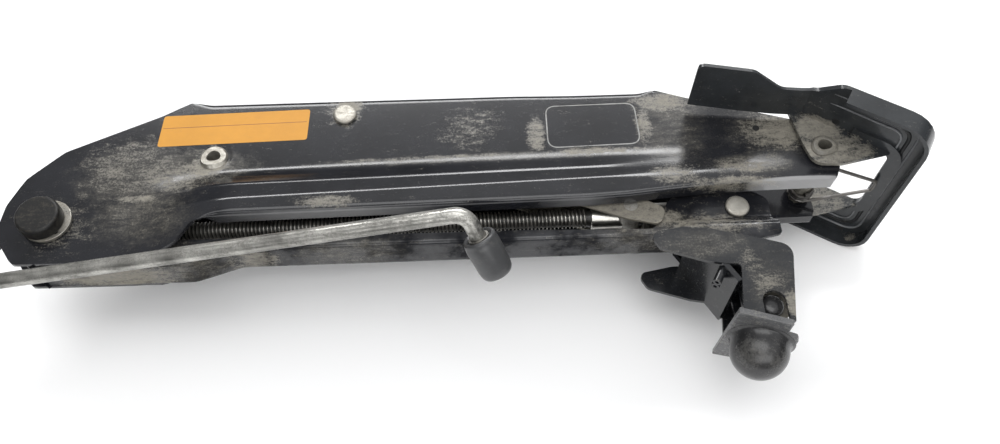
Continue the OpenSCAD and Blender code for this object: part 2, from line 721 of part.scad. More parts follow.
module foot_spring() {
    z = wide_z - col_t - 4;
    r = (foot_rivet_d + wire_d) / 2 + 0.3;
    turns = 3;
    steps = 12;
    coil = [for (i = [0:turns * steps]) let(a = -90 - 360 * i / steps)
        [r * cos(a), r * sin(a), z - (wire_d + 0.2) * i / steps]];
    far = [for (i = [len(coil) - 1:-1:0]) [coil[i][0], coil[i][1], -coil[i][2]]];
    color([0.30, 0.30, 0.29]) on_foot() {
        sweep(concat([for (i = [len(coil) - 1:-1:0]) coil[i]],
            fillets([coil[0] + [1, 0, 0], [42, -11, 5], [42, -11, -5], far[len(far) - 1] + [1, 0, 0]], 3),
            [for (i = [len(far) - 1:-1:0]) far[i]]), wire_d, 8);
    }
}

// ---------------------------------------------------------------- assembly

module place() translate([-tube_x, -tube_y, 0]) children();

place() column_channel();
place() stowage_tube();
place() strut_rivet();
place() foot_rivet();
place() foot_spacers();
place() carrying_arm();
place() nut_trunnion();
place() trunnion_cap();
place() trunnion_clip();
place() head_pin();
place() strut_channel();
place() strut_washers();
place() thrust_block();
place() thrust_washers();
place() spindle_screw();
place() spindle_collar();
place() collar_pin();
place() spindle_eye();
place() crank_rod();
place() crank_washers();
place() crank_grip();
place() grip_clip();
place() head_bracket();
place() head_yoke();
place() saddle_plate();
place() saddle_dome();
place() saddle_rivets();
place() head_stop();
place() foot_plate();
place() foot_spring();
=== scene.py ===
"""Visual model of a folded half-scissor jack, lying on a pale studio floor.

Sizes inside the classes are millimetres counted from the main pivot, as a
drawing of the jack would give them; ``Frame`` turns them into metres in the
row's frame.
"""

import json
import logging
import math
from contextlib import contextmanager
from dataclasses import dataclass, field
from enum import Enum
from typing import Iterable, Iterator, Sequence

import bmesh
import bpy
from mathutils import Matrix, Vector

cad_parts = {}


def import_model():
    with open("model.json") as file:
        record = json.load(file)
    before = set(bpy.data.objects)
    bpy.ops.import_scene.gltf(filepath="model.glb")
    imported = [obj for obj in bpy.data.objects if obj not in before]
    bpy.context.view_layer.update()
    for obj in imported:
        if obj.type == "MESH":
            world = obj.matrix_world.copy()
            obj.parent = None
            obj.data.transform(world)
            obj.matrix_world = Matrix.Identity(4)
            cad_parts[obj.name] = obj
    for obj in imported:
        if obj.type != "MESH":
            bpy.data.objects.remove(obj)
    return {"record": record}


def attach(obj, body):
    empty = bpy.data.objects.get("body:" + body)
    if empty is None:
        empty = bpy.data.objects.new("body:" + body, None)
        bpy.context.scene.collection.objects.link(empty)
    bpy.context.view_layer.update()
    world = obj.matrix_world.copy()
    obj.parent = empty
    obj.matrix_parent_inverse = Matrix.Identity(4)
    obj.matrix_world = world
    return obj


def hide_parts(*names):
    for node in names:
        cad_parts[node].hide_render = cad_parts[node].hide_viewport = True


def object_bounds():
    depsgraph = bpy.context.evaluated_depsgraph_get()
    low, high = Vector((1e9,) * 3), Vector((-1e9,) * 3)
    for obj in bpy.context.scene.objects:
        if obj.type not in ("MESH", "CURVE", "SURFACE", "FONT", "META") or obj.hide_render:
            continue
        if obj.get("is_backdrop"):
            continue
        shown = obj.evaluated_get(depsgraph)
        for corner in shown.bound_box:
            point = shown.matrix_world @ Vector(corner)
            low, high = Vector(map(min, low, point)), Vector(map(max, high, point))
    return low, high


LOG = logging.getLogger("jack")

Point = tuple[float, float, float]
Flat = tuple[float, float]
Colour = tuple[float, float, float]
Socket = bpy.types.NodeSocket
Thing = bpy.types.Object

MM = 1000.0  # millimetres in a metre
SAME_PLACE = 2e-6  # metres within which two corners are one
SHARP, BEVEL_FROM = 30.0, 32.0  # degrees at an edge of a CAD node


# ------------------------------------------------------------------ placing


@dataclass(frozen=True)
class Frame:
    """Where the main pivot lies in the row's frame, in millimetres."""

    pivot_x: float = -101.0
    pivot_y: float = -46.0

    def place(self, point: Sequence[float]) -> Point:
        """Turns a drawing point into metres in the row's frame."""
        return (point[0] + self.pivot_x) / MM, (point[1] + self.pivot_y) / MM, point[2] / MM


FRAME = Frame()
# Middles of the stowage tube, the foot's rivet and the saddle's bolts in the drawing.
TUBE_AT: Flat = (101.0, 46.0)
FOOT_AT: Flat = (499.0, 29.0)
BOLT_AT: Flat = (447.0, -77.0)


def smoothstep(low: float, high: float, value: float) -> float:
    """Rises smoothly from 0 at low to 1 at high."""
    t = min(1.0, max(0.0, (value - low) / (high - low)))
    return t * t * (3.0 - 2.0 * t)


def corner_ramp(value: float, soft: float) -> float:
    """A ramp that starts at 0 with a rounded corner of half width soft.

    Args:
        value: Position along the ramp.
        soft: Half width of the rounding.

    Returns:
        The ramp's height.
    """
    if value <= -soft:
        return 0.0
    if value >= soft:
        return value
    return (value + soft) ** 2 / (4.0 * soft)


def ease(value: float, soft: float) -> float:
    """A straight ramp from 0 to 1 with rounded ends, each taking a share of it."""
    return min(1.0, max(0.0, corner_ramp(value, soft) - corner_ramp(value - 1.0, soft)))


def circle(sides: int) -> list[Flat]:
    """Points at even steps round a circle of radius 1."""
    turns = [2 * math.pi * k / sides for k in range(sides)]
    return [(math.cos(a), math.sin(a)) for a in turns]


def quarter(chords: int) -> list[Flat]:
    """Sine, and what the cosine lacks of 1, at even steps of a quarter turn."""
    turns = [math.pi / 2 * k / chords for k in range(chords + 1)]
    return [(math.sin(a), 1 - math.cos(a)) for a in turns]


def rounded(points: Sequence[Point], steps: int) -> list[Flat]:
    """Rounds the corners of a flat outline.

    Args:
        points: Corners as (x, y, radius), in order.
        steps: Number of chords in each corner.

    Returns:
        The outline's points.
    """
    out: list[Flat] = []
    count = len(points)
    for i, (x, y, radius) in enumerate(points):
        here = Vector((x, y))
        back = Vector(points[i - 1][:2]) - here
        ahead = Vector(points[(i + 1) % count][:2]) - here
        half = back.angle(ahead) / 2
        if abs(half - math.pi / 2) < 0.01:
            out.append((x, y))
            continue
        reach = min(radius / math.tan(half), 0.49 * back.length, 0.49 * ahead.length)
        start = here + back.normalized() * reach
        end = here + ahead.normalized() * reach
        for k in range(steps + 1):
            t = k / steps
            curve = start * (1 - t) ** 2 + here * 2 * t * (1 - t) + end * t * t
            out.append((curve.x, curve.y))
    return out


def span(outline: Sequence[Flat], x: float) -> Flat:
    """Lowest and highest y of a closed outline at x.

    Args:
        outline: The outline's points.
        x: Where it is cut.

    Returns:
        The two heights, or zeros outside it.
    """
    hits: list[float] = []
    for (x0, y0), (x1, y1) in zip(outline, [*outline[1:], outline[0]]):
        if (x0 <= x < x1) or (x1 <= x < x0):
            hits.append(y0 + (y1 - y0) * (x - x0) / (x1 - x0))
    return (min(hits), max(hits)) if hits else (0.0, 0.0)


def fillet_path(points: Sequence[Point], radius: float, steps: int) -> list[Vector]:
    """Rounds the inner corners of a path in space with one radius.

    Args:
        points: Corners and ends of the path.
        radius: Radius of the corners.
        steps: Number of chords in each corner.

    Returns:
        The path's points.
    """
    path = [Vector(points[0])]
    for a, p, b in zip(points, points[1:], points[2:]):
        here = Vector(p)
        back = (Vector(a) - here).normalized()
        ahead = (Vector(b) - here).normalized()
        half = back.angle(ahead) / 2
        reach = radius / math.tan(half)
        centre = here + (back + ahead).normalized() * radius / math.sin(half)
        start, end = here + back * reach - centre, here + ahead * reach - centre
        turn = start.angle(end)
        for k in range(steps + 1):
            t = k / steps
            arm = start * math.sin((1 - t) * turn) + end * math.sin(t * turn)
            path.append(centre + arm / math.sin(turn))
    path.append(Vector(points[-1]))
    return path


# ------------------------------------------------------------------ meshes


@contextmanager
def edited(mesh: bpy.types.Mesh,
           source: bpy.types.Mesh | None = None) -> Iterator[bmesh.types.BMesh]:
    """Opens a mesh, or the one it is made from, and writes the result to it.

    Args:
        mesh: Mesh that takes the result.
        source: Mesh to start from, if it is another one.

    Yields:
        The mesh open for editing.
    """
    work = bmesh.new()
    work.from_mesh(source or mesh)
    yield work
    work.to_mesh(mesh)
    work.free()


@dataclass
class Shape:
    """A mesh under construction, in drawing millimetres."""

    verts: list[Sequence[float]] = field(default_factory=list)
    faces: list[Sequence[int]] = field(default_factory=list)

    def grid(self, rows: Sequence[Sequence[Point | None]], close: bool = False) -> "Shape":
        """Adds quads between rows of points; a missing point leaves a gap.

        Args:
            rows: Rows of equal length, with None where the sheet has no point.
            close: Whether the last column joins the first.

        Returns:
            The shape itself.
        """
        index: list[list[int | None]] = []
        for row in rows:
            index.append([])
            for point in row:
                index[-1].append(None if point is None else len(self.verts))
                if point is not None:
                    self.verts.append(point)
        width = len(index[0])
        for upper, lower in zip(index, index[1:]):
            for j in range(width if close else width - 1):
                k = (j + 1) % width
                corners = (upper[j], lower[j], lower[k], upper[k])
                if None not in corners:
                    self.faces.append(corners)
        return self

    def lathe(self, profile: Sequence[Flat], base: Point, axis: Point, sides: int) -> "Shape":
        """Adds a turned solid.

        Args:
            profile: (radius, height) pairs from one end to the other; a radius of 0 closes it.
            base: Point on the axis at height 0.
            axis: Direction of rising height.
            sides: Number of facets round the axis.

        Returns:
            The shape itself.
        """
        turn = Vector((0, 0, 1)).rotation_difference(Vector(axis).normalized()).to_matrix()
        origin = Vector(base)
        rings: list[list[int]] = []
        for radius, height in profile:
            start = len(self.verts)
            spots = [(radius * c, radius * s) for c, s in circle(sides)] if radius else [(0, 0)]
            self.verts += [origin + turn @ Vector((x, y, height)) for x, y in spots]
            rings.append(list(range(start, len(self.verts))))
        for low, high in zip(rings, rings[1:]):
            for k in range(sides):
                j = (k + 1) % sides
                if len(low) == 1 and len(high) == 1:
                    break
                if len(low) == 1:
                    self.faces.append((low[0], high[j], high[k]))
                elif len(high) == 1:
                    self.faces.append((low[k], low[j], high[0]))
                else:
                    self.faces.append((low[k], low[j], high[j], high[k]))
        return self

    def tube(self, path: Sequence[Vector], radius: float, sides: int) -> "Shape":
        """Adds a closed-ended round bar along a path.

        Args:
            path: Points along the bar's middle.
            radius: Radius of the bar.
            sides: Number of facets round the bar.

        Returns:
            The shape itself.
        """
        last = len(path) - 1
        side = Vector()
        rows: list[list[Vector]] = []
        for i, place in enumerate(path):
            along = (path[min(i + 1, last)] - path[max(i - 1, 0)]).normalized()
            side = along.orthogonal().normalized() if i == 0 else side
            side = (side - along * side.dot(along)).normalized()
            other = along.cross(side)
            rows.append([place + radius * (side * c + other * s) for c, s in circle(sides)])
        start = len(self.verts)
        self.grid(rows, close=True)
        self.faces.append(range(start, start + sides)[::-1])
        self.faces.append(range(len(self.verts) - sides, len(self.verts)))
        return self

    def slab(self, outline: Sequence[Flat], low: float, high: float) -> "Shape":
        """Adds a flat plate of an outline in XY between two heights along Z.

        Args:
            outline: Outline of the plate.
            low: Height of its lower face.
            high: Height of its upper face.

        Returns:
            The shape itself.
        """
        start, count = len(self.verts), len(outline)
        for z in (low, high):
            self.verts += [(x, y, z) for x, y in outline]
        self.faces.append(range(start, start + count)[::-1])
        self.faces.append(range(start + count, start + 2 * count))
        for k in range(start, start + count):
            j = k + 1 if k + 1 < start + count else start
            self.faces.append((k, j, j + count, k + count))
        return self

    def build(self, name: str, sharp: float, merge: float = 0.0) -> Thing:
        """Makes the Blender object, with outward faces and smooth shading.

        Args:
            name: Name of the piece.
            sharp: Angle between faces above which an edge stays sharp, in degrees.
            merge: Distance within which points are merged, in millimetres.

        Returns:
            The new object, at the origin.
        """
        mesh = bpy.data.meshes.new(name)
        mesh.from_pydata([FRAME.place(v) for v in self.verts], [], [list(f) for f in self.faces])
        with edited(mesh) as work:
            if merge > 0:
                bmesh.ops.remove_doubles(work, verts=work.verts, dist=merge / MM)
            bmesh.ops.recalc_face_normals(work, faces=work.faces)
        return link_mesh(name, mesh, sharp)


def smooth(mesh: bpy.types.Mesh, sharp: float) -> None:
    """Shades a mesh smooth, with sharp edges above an angle in degrees."""
    mesh.shade_smooth()
    mesh.set_sharp_from_angle(angle=math.radians(sharp))


def link_mesh(name: str, mesh: bpy.types.Mesh, sharp: float) -> Thing:
    """Links a mesh as an object with smooth faces and sharp edges above an angle.

    Args:
        name: Name of the object.
        mesh: Its mesh.
        sharp: Angle above which an edge stays sharp, in degrees.

    Returns:
        The new object.
    """
    smooth(mesh, sharp)
    piece = bpy.data.objects.new(name, mesh)
    bpy.context.scene.collection.objects.link(piece)
    return piece


def refined(node: str, bevel: float) -> Thing:
    """Copies a CAD node as clean faces with rounded edges.

    Args:
        node: Name of the CAD node.
        bevel: Width of the rounding, in millimetres.

    Returns:
        The new piece.
    """
    name, flat = node + "_rounded", math.radians(1.0)
    mesh = bpy.data.meshes.new(name)
    with edited(mesh, bpy.data.objects[node].data) as work:
        bmesh.ops.remove_doubles(work, verts=work.verts, dist=SAME_PLACE)
        bmesh.ops.dissolve_limit(work, angle_limit=flat, verts=work.verts, edges=work.edges)
    piece = link_mesh(name, mesh, SHARP)
    round_edges(piece, bevel, BEVEL_FROM)
    return piece


def round_edges(piece: Thing, width: float, limit: float) -> None:
    """Adds a bevel of a width in millimetres on every edge sharper than a limit in degrees.

    Args:
        piece: The piece to round.
        width: Width of the rounding, in millimetres.
        limit: Angle above which an edge gets it, in degrees.
    """
    bevel = piece.modifiers.new("rounding", "BEVEL")
    bevel.width = width / MM
    bevel.segments = 2
    bevel.limit_method = "ANGLE"
    bevel.angle_limit = math.radians(limit)
    bevel.harden_normals = True
    bevel.use_clamp_overlap = True


def thicken(piece: Thing, thickness: float) -> None:
    """Gives a sheet its thickness inwards, in millimetres.

    Args:
        piece: The sheet.
        thickness: Its thickness, in millimetres.
    """
    wall = piece.modifiers.new("wall", "SOLIDIFY")
    wall.thickness = thickness / MM
    wall.offset = -1.0
    wall.use_even_offset = True
    wall.use_quality_normals = True


# ------------------------------------------------------------------ finishes


@dataclass(frozen=True)
class Patch:
    """A soft-edged spot of dirt or wear; painted reflections and painted highlights use it too.

    Attributes:
        centre: Middle of the spot, in drawing millimetres.
        size: Half widths of the spot, in millimetres.
        strength: How much of the spot is covered.
        soft: Width of the edge, as a share of the half widths.
    """

    centre: Point
    size: Point
    strength: float
    soft: float = 0.8


class Coat(Enum):
    """Kinds of surface."""

    PAINT = "paint"
    METAL = "metal"
    PLASTIC = "plastic"
    PRINT = "print"


@dataclass(frozen=True)
class Finish:
    """How one material looks.

    Attributes:
        name: Name of the Blender material.
        colour: Linear base colour.
        coat: Kind of surface.
        roughness: Roughness of the clean surface.
        dust: Share of thin dust all over.
        dust_colour: Linear colour of the dust.
        mottle: Strength of the base colour's slow variation.
        grain: Height of the fine unevenness, in millimetres.
        streak: Direction stretch of the grain, for drawn or turned metal.
        patches: Spots of dirt.
        wipe: Direction stretch of the dust's wipe marks.
        wear: Share of scratches that show bare metal.
        painted_reflections: Spots painted pale as reflected light, where the column's lips face the
            floor.
        haze_and_highlight: Spots with a thin wiped film of dust; on the dome they also paint the
            highlight.
        gloss: Strength of the mirror light on a coat that is no metal.
        gloss_swing: How much that strength wanders over the piece, as a share.
    """

    name: str
    colour: Colour
    coat: Coat = Coat.PAINT
    roughness: float = 0.35
    dust: float = 0.1
    dust_colour: Colour = (0.30, 0.27, 0.225)
    mottle: float = 0.25
    grain: float = 0.02
    streak: Point = (1.0, 1.0, 1.0)
    patches: tuple[Patch, ...] = ()
    wipe: Point = (0.35, 1.0, 1.0)
    wear: float = 0.0
    painted_reflections: tuple[Patch, ...] = ()
    haze_and_highlight: tuple[Patch, ...] = ()
    gloss: float = 0.5
    gloss_swing: float = 0.0


class Wires:
    """Adds and links the nodes of one tree."""

    def __init__(self, tree: bpy.types.NodeTree) -> None:
        """Keeps the tree that is filled."""
        self.tree = tree

    def feed(self, node: bpy.types.Node, key: int | str, value: object) -> None:
        """Links a socket to a node's input, or sets the input to a value.

        Args:
            node: The node.
            key: Place or name of the input.
            value: Socket to link or value to set.
        """
        if isinstance(value, Socket):
            self.tree.links.new(value, node.inputs[key])
        else:
            node.inputs[key].default_value = value

    def add(self, kind: str, ins: dict | Iterable = (), **settings: object) -> bpy.types.Node:
        """Adds a node.

        Args:
            kind: Type of the node.
            ins: What its inputs get, by name or in their order.
            **settings: Its properties.

        Returns:
            The new node.
        """
        node = self.tree.nodes.new(kind)
        for label, value in settings.items():
            setattr(node, label, value)
        for key, value in ins.items() if isinstance(ins, dict) else enumerate(ins):
            self.feed(node, key, value)
        return node

    def math(self, kind: str, *ins: float | Socket, clamp: bool = False) -> Socket:
        """Adds a Math node."""
        return self.add("ShaderNodeMath", ins, operation=kind, use_clamp=clamp).outputs[0]

    def vector(self, kind: str, *ins: Point | Socket) -> Socket:
        """Adds a Vector Math node."""
        node = self.add("ShaderNodeVectorMath", ins, operation=kind)
        return node.outputs["Value" if kind == "LENGTH" else "Vector"]

    def noise(self, place: Socket, scale: float, detail: float, rough: float,
              output: int | str = 0) -> Socket:
        """Adds noise over a position."""
        ins = {"Vector": place, "Scale": scale, "Detail": detail, "Roughness": rough}
        return self.add("ShaderNodeTexNoise", ins).outputs[output]

    def span(self, value: Socket, low: float, high: float | Socket, to_low: float = 0.0,
             to_high: float = 1.0) -> Socket:
        """Adds a smooth Map Range from low and high to two new ends."""
        ins = {"Value": value, "From Min": low, "From Max": high, "To Min": to_low,
               "To Max": to_high}
        return self.add("ShaderNodeMapRange", ins, interpolation_type="SMOOTHSTEP").outputs[0]

    def sockets(self, labels: dict[str, str], way: str = "INPUT") -> dict:
        """Gives a group its sockets.

        Args:
            labels: Names of the sockets with their kinds.
            way: Whether they are inputs or outputs.

        Returns:
            The new sockets by name.
        """
        new = self.tree.interface.new_socket
        return {label: new(label, in_out=way, socket_type="NodeSocket" + kind)
                for label, kind in labels.items()}


class Mask(Wires):
    """A node group that turns a position into a mask, made once for all materials."""

    numbers: dict[str, float] = {}
    points: tuple[str, ...] = ("Position",)
    made: dict[str, bpy.types.NodeTree] = {}

    @classmethod
    def shared(cls) -> bpy.types.NodeTree:
        """Returns the group's tree, built when first asked for.

        Returns:
            The group's tree.
        """
        name = cls.__name__
        if name not in cls.made:
            group = cls(bpy.data.node_groups.new(name, "ShaderNodeTree"))
            group.sockets(dict.fromkeys(cls.points, "Vector"))
            for label, socket in group.sockets(dict.fromkeys(cls.numbers, "Float")).items():
                socket.default_value = cls.numbers[label]
            group.sockets({"Mask": "Float"}, "OUTPUT")
            group.add("NodeGroupOutput", [group.mask(group.add("NodeGroupInput").outputs)])
            cls.made[name] = group.tree
        return cls.made[name]

    def mask(self, ins: Sequence[Socket]) -> Socket:
        """Builds the mask from the group's inputs."""
        raise NotImplementedError


class Spot(Mask):
    """An ellipsoid with a ragged and soft edge."""

    points = ("Position", "Centre", "Size")
    numbers = {"Strength": 1.0, "Ragged": 0.5, "Soft": 0.8}
    edge = 1.15  # outer end of the soft edge, in half widths
    setting = (0.11, 6.0, 0.68)  # scale, detail and roughness of the noise
    swing = 1.2  # how far the noise sets the edge off, either way

    def mask(self, ins: Sequence[Socket]) -> Socket:
        """Falls off with the distance from the centre, which noise sets off.

        Args:
            ins: The group's inputs by name.

        Returns:
            The mask.
        """
        away = self.vector("SUBTRACT", ins["Position"], ins["Centre"])
        length = self.vector("LENGTH", self.vector("DIVIDE", away, ins["Size"]))
        noise = self.noise(ins["Position"], *self.setting)
        shift = self.math("MULTIPLY_ADD", noise, -2.0 * self.swing, self.swing)
        ragged = self.math("MULTIPLY", shift, ins["Ragged"])
        core = self.math("SUBTRACT", self.edge, ins["Soft"])
        fall = self.span(self.math("ADD", length, ragged), self.edge, core)
        return self.math("MULTIPLY", fall, ins["Strength"])


class Grains(Mask):
    """Fine grains and wipe marks around one half."""

    points = ("Position", "Stretch")
    fine = (0.75, 6.0, 0.85)
    wiped = (0.28, 6.0, 0.75)
    fine_share, wiped_share = 1.5, 1.3

    def mask(self, ins: Sequence[Socket]) -> Socket:
        """Adds a fine noise and one that is stretched along the wipe.

        Args:
            ins: The group's inputs by name.

        Returns:
            The mask.
        """
        fine = self.noise(ins["Position"], *self.fine)
        wiped = self.noise(self.vector("MULTIPLY", ins["Position"], ins["Stretch"]), *self.wiped)
        grains = self.math("MULTIPLY_ADD", fine, self.fine_share, 0.5 - 0.5 * self.fine_share)
        wipes = self.math("MULTIPLY_ADD", wiped, self.wiped_share, -0.5 * self.wiped_share)
        return self.math("ADD", grains, wipes)


class Scratches(Mask):
    """Thin broken lines."""

    numbers = {"Share": 0.2}
    bent = (22.0, 22.0, 22.0)  # how far the lines wander, in millimetres
    drawn = (0.05, 0.9, 0.6)  # how the noise is drawn out along X
    peaks = (0.63, 0.72)  # heights of the noise that give a line

    def mask(self, ins: Sequence[Socket]) -> Socket:
        """Picks the peaks of a noise that is bent and drawn out.

        Args:
            ins: The group's inputs by name.

        Returns:
            The mask.
        """
        warp = self.noise(ins["Position"], 0.05, 2.0, 0.5, "Color")
        pushed = self.vector("MULTIPLY_ADD", warp, self.bent, ins["Position"])
        lines = self.noise(self.vector("MULTIPLY", pushed, self.drawn), 1.0, 5.0, 0.75)
        return self.math("MULTIPLY", self.span(lines, *self.peaks), ins["Share"])


PAINT: Colour = (0.0115, 0.012, 0.0145)
DUST: Colour = (0.27, 0.25, 0.205)
# Pale colour painted on the lips as a reflection of the floor's light.
PAINTED_REFLECTION_COLOUR: Colour = (0.26, 0.26, 0.262)
BARE: Colour = (0.30, 0.30, 0.295)
REFLECTION_EDGE = 0.05  # raggedness of a painted reflection
HAZE_AND_HIGHLIGHT_SHARE = 0.62  # brightness of haze, and of the dome's painted highlight, next to the dust's
HAZE_DULL = 0.35  # roughness that haze adds
HAZE_WIPES = (0.25, 0.85, 0.08, 0.62)  # grains that thin the haze, and its cover there
DUST_FROM = 0.68  # sum of share and grains at which dust starts to show
DUST_FULL, DUST_FULL_THIN = 1.30, 1.20  # and at which it covers most
DUST_MOST = 0.80  # most cover
DUST_PILE = 0.62  # weight of a spot in that sum
DUST_DULL = 0.45  # roughness that dust adds
DUST_DARK = 0.75  # brightness of the dust's dark clouds
DUST_HEIGHT = 0.6  # height of dust next to the grain's
GRAINS_PER_MM = 1.2
ROUGH_SWING = 0.12  # how far the grain varies the roughness
GLOSS_FROM, GLOSS_TO = 0.38, 0.62  # slow noise between which the gloss swings


class Painter(Wires):
    """Builds one material from its finish."""

    def __init__(self, look: Finish) -> None:
        """Starts an empty material whose positions are drawing millimetres.

        Args:
            look: The finish to build.
        """
        self.look = look
        self.material = bpy.data.materials.new(look.name)
        self.material.use_nodes = True
        super().__init__(self.material.node_tree)
        self.tree.nodes.clear()
        coords = self.add("ShaderNodeTexCoord").outputs["Object"]
        shift = (-FRAME.pivot_x, -FRAME.pivot_y, 0.0)
        self.position = self.vector("MULTIPLY_ADD", coords, (MM, MM, MM), shift)

    def mix(self, factor: Socket, *colours: Colour | Socket) -> Socket:
        """Mixes two colours, each a socket or a linear colour.

        Args:
            factor: Share of the second colour.
            *colours: The two colours.

        Returns:
            The mixed colour.
        """
        node = self.add("ShaderNodeMix", {"Factor": factor}, data_type="RGBA")
        places = [i for i, socket in enumerate(node.inputs) if socket.type == "RGBA"]
        for place, value in zip(places, colours):
            self.feed(node, place, (*value, 1.0) if isinstance(value, tuple) else value)
        return next(socket for socket in node.outputs if socket.type == "RGBA")

    def mask(self, group: type[Mask], **values: object) -> Socket:
        """Adds a shared group fed with the drawing position."""
        ins = {"Position": self.position, **values}
        return self.add("ShaderNodeGroup", ins, node_tree=group.shared()).outputs["Mask"]

    def spot(self, patch: Patch, ragged: float = 0.5) -> Socket:
        """Adds the mask of one spot."""
        return self.mask(Spot, Centre=patch.centre, Size=patch.size, Strength=patch.strength,
                         Ragged=ragged, Soft=patch.soft)

    def strongest(self, masks: Sequence[Socket]) -> Socket:
        """Takes the greatest of some masks.

        Args:
            masks: The masks.

        Returns:
            Their maximum.
        """
        total = masks[0]
        for mask in masks[1:]:
            total = self.math("MAXIMUM", total, mask)
        return total

    def dust(self) -> Socket:
        """Dust from the spots and the thin cover, broken up by grains and wipe marks.

        Returns:
            The mask of the dust.
        """
        look = self.look
        grains = self.mask(Grains, Stretch=look.wipe)
        if not look.patches:
            return self.span(grains, DUST_FROM - look.dust, DUST_FULL_THIN - look.dust, 0.0,
                             DUST_MOST)
        spots = self.strongest([self.spot(patch) for patch in look.patches])
        share = self.math("MULTIPLY_ADD", spots, DUST_PILE, look.dust)
        return self.span(self.math("ADD", share, grains), DUST_FROM, DUST_FULL, 0.0, DUST_MOST)

    def haze_and_highlight_mask(self, patch: Patch) -> Socket:
        """A spot of haze, thinned by wipe marks; on the dome the haze also paints the highlight."""
        wipes = self.span(self.mask(Grains, Stretch=self.look.wipe), *HAZE_WIPES)
        return self.math("MULTIPLY", self.spot(patch), wipes)

    def colour(self, slow: Socket, dust: Socket, haze_and_highlight_masks: Sequence[Socket]) -> Socket:
        """Layers the base colour, painted reflections, haze (on the dome also a painted highlight),
        scratches and dust.

        Args:
            slow: Noise with slow swings.
            dust: Mask of the dust.
            haze_and_highlight_masks: Masks of the haze, which on the dome is also a painted
                highlight.

        Returns:
            The colour.
        """
        look = self.look
        low = tuple(c * (1.0 - look.mottle) for c in look.colour)
        high = tuple(min(1.0, c * (1.0 + look.mottle)) for c in look.colour)
        colour = self.mix(self.span(slow, 0.3, 0.7), low, high)
        # Painted reflections: pale spots standing in for reflected light.
        for patch in look.painted_reflections:
            colour = self.mix(self.spot(patch, REFLECTION_EDGE), colour, PAINTED_REFLECTION_COLOUR)
        # Haze is dust; on the dome it also paints the highlight.
        for haze_and_highlight_mask in haze_and_highlight_masks:
            colour = self.mix(haze_and_highlight_mask, colour, tuple(HAZE_AND_HIGHLIGHT_SHARE * c for c in look.dust_colour))
        if look.wear > 0:
            colour = self.mix(self.mask(Scratches, Share=look.wear), colour, BARE)
        clouds = self.span(self.noise(self.position, 0.25, 4.0, 0.7), 0.3, 0.75)
        dark = tuple(c * DUST_DARK for c in look.dust_colour)
        return self.mix(dust, colour, self.mix(clouds, dark, look.dust_colour))

    def build(self) -> bpy.types.Material:
        """Makes the material.

        Returns:
            The new material.
        """
        look = self.look
        slow = self.noise(self.position, 0.035, 5.0, 0.65)
        dust = self.dust()
        haze_and_highlight_masks = [self.haze_and_highlight_mask(patch) for patch in look.haze_and_highlight]
        grain = self.vector("MULTIPLY", self.position, look.streak)
        fine = self.noise(grain, GRAINS_PER_MM, 3.0, 0.6)
        rough = self.math("MULTIPLY_ADD", fine, ROUGH_SWING, look.roughness - 0.5 * ROUGH_SWING)
        if haze_and_highlight_masks:
            rough = self.math("MULTIPLY_ADD", self.strongest(haze_and_highlight_masks), HAZE_DULL, rough)
        swing = look.gloss * look.gloss_swing
        height = self.math("MULTIPLY_ADD", dust, DUST_HEIGHT, fine)
        bump = {"Strength": 1.0, "Distance": look.grain / MM, "Height": height}
        ins = {
            "Base Color": self.colour(slow, dust, haze_and_highlight_masks),
            "Roughness": self.math("MULTIPLY_ADD", dust, DUST_DULL, rough, clamp=True),
            "Specular IOR Level": self.span(
                slow, GLOSS_FROM, GLOSS_TO, look.gloss - swing, look.gloss + swing),
            "Normal": self.add("ShaderNodeBump", bump).outputs[0],
        }
        if look.coat is Coat.METAL:
            ins["Metallic"] = self.math("MULTIPLY_ADD", dust, -1.0, 1.0, clamp=True)
        shader = self.add("ShaderNodeBsdfPrincipled", ins)
        self.add("ShaderNodeOutputMaterial", {"Surface": shader.outputs[0]})
        return self.material


# Spots, as the middle, the half widths and the strength.
COLUMN_SPOTS = (
    Patch((44, 44, 16), (40, 26, 14), 0.40),
    Patch((80, 32, 18), (34, 16, 12), 0.56),
    Patch((54, 16, 18), (18, 4, 10), 0.80),
    Patch((12, -2, 16), (26, 26, 8), 0.42),
    Patch((98, 40, 18), (16, 12, 8), 1.0),
    Patch((101, 46, 18), (11, 11, 8), 1.0),
    Patch((186, 79, 21), (15, 14, 8), 1.05),
    Patch((270, 60, 23), (26, 22, 10), 0.44),
    Patch((314, 53, 24), (8, 21, 8), 0.80),
    Patch((386, 58, 26), (8, 22, 8), 0.82),
    Patch((345, 38, 25), (46, 4, 8), 0.85),
    Patch((180, 2, 28), (26, 6, 10), 0.80),
    Patch((402, 76, 26), (24, 10, 10), 0.90),
    Patch((474, 46, 27), (30, 20, 12), 0.92),
    Patch((400, 14, 28), (20, 12, 12), 0.70),
    Patch((440, 4, 28), (40, 9, 12), 0.85),
    Patch((235, 38, 22), (70, 2.0, 8), 0.55),
    Patch((446, 18, 27), (26, 7, 10), 0.70),
)
# Dust haze on the dome, also painted lighter as its highlight at the upper left.
DOME_HAZE_AND_HIGHLIGHT = (
    Patch((429, -104, 14), (15, 11, 12), 1.0),
    Patch((448, -112, 14), (9, 9, 10), 0.9),
)
ARM_HAZE = (
    Patch((70, -28, 6), (70, 14, 24), 0.9),
    Patch((190, -24, 6), (40, 10, 24), 0.8),
    Patch((400, -20, 8), (60, 16, 24), 0.7),
)
COLUMN_HAZE = (
    Patch((64, 0, 18), (40, 20, 12), 0.75),
    Patch((56, 34, 18), (46, 30, 14), 1.0),
    Patch((100, 38, 18), (32, 16, 12), 0.8),
    Patch((478, 50, 27), (40, 26, 12), 0.8),
    Patch((450, 20, 27), (30, 10, 10), 1.1),
    Patch((408, 74, 26), (30, 14, 10), 0.7),
    Patch((404, 46, 26), (26, 30, 12), 0.55),
    Patch((275, 36, 24), (150, 4, 10), 0.8),
)
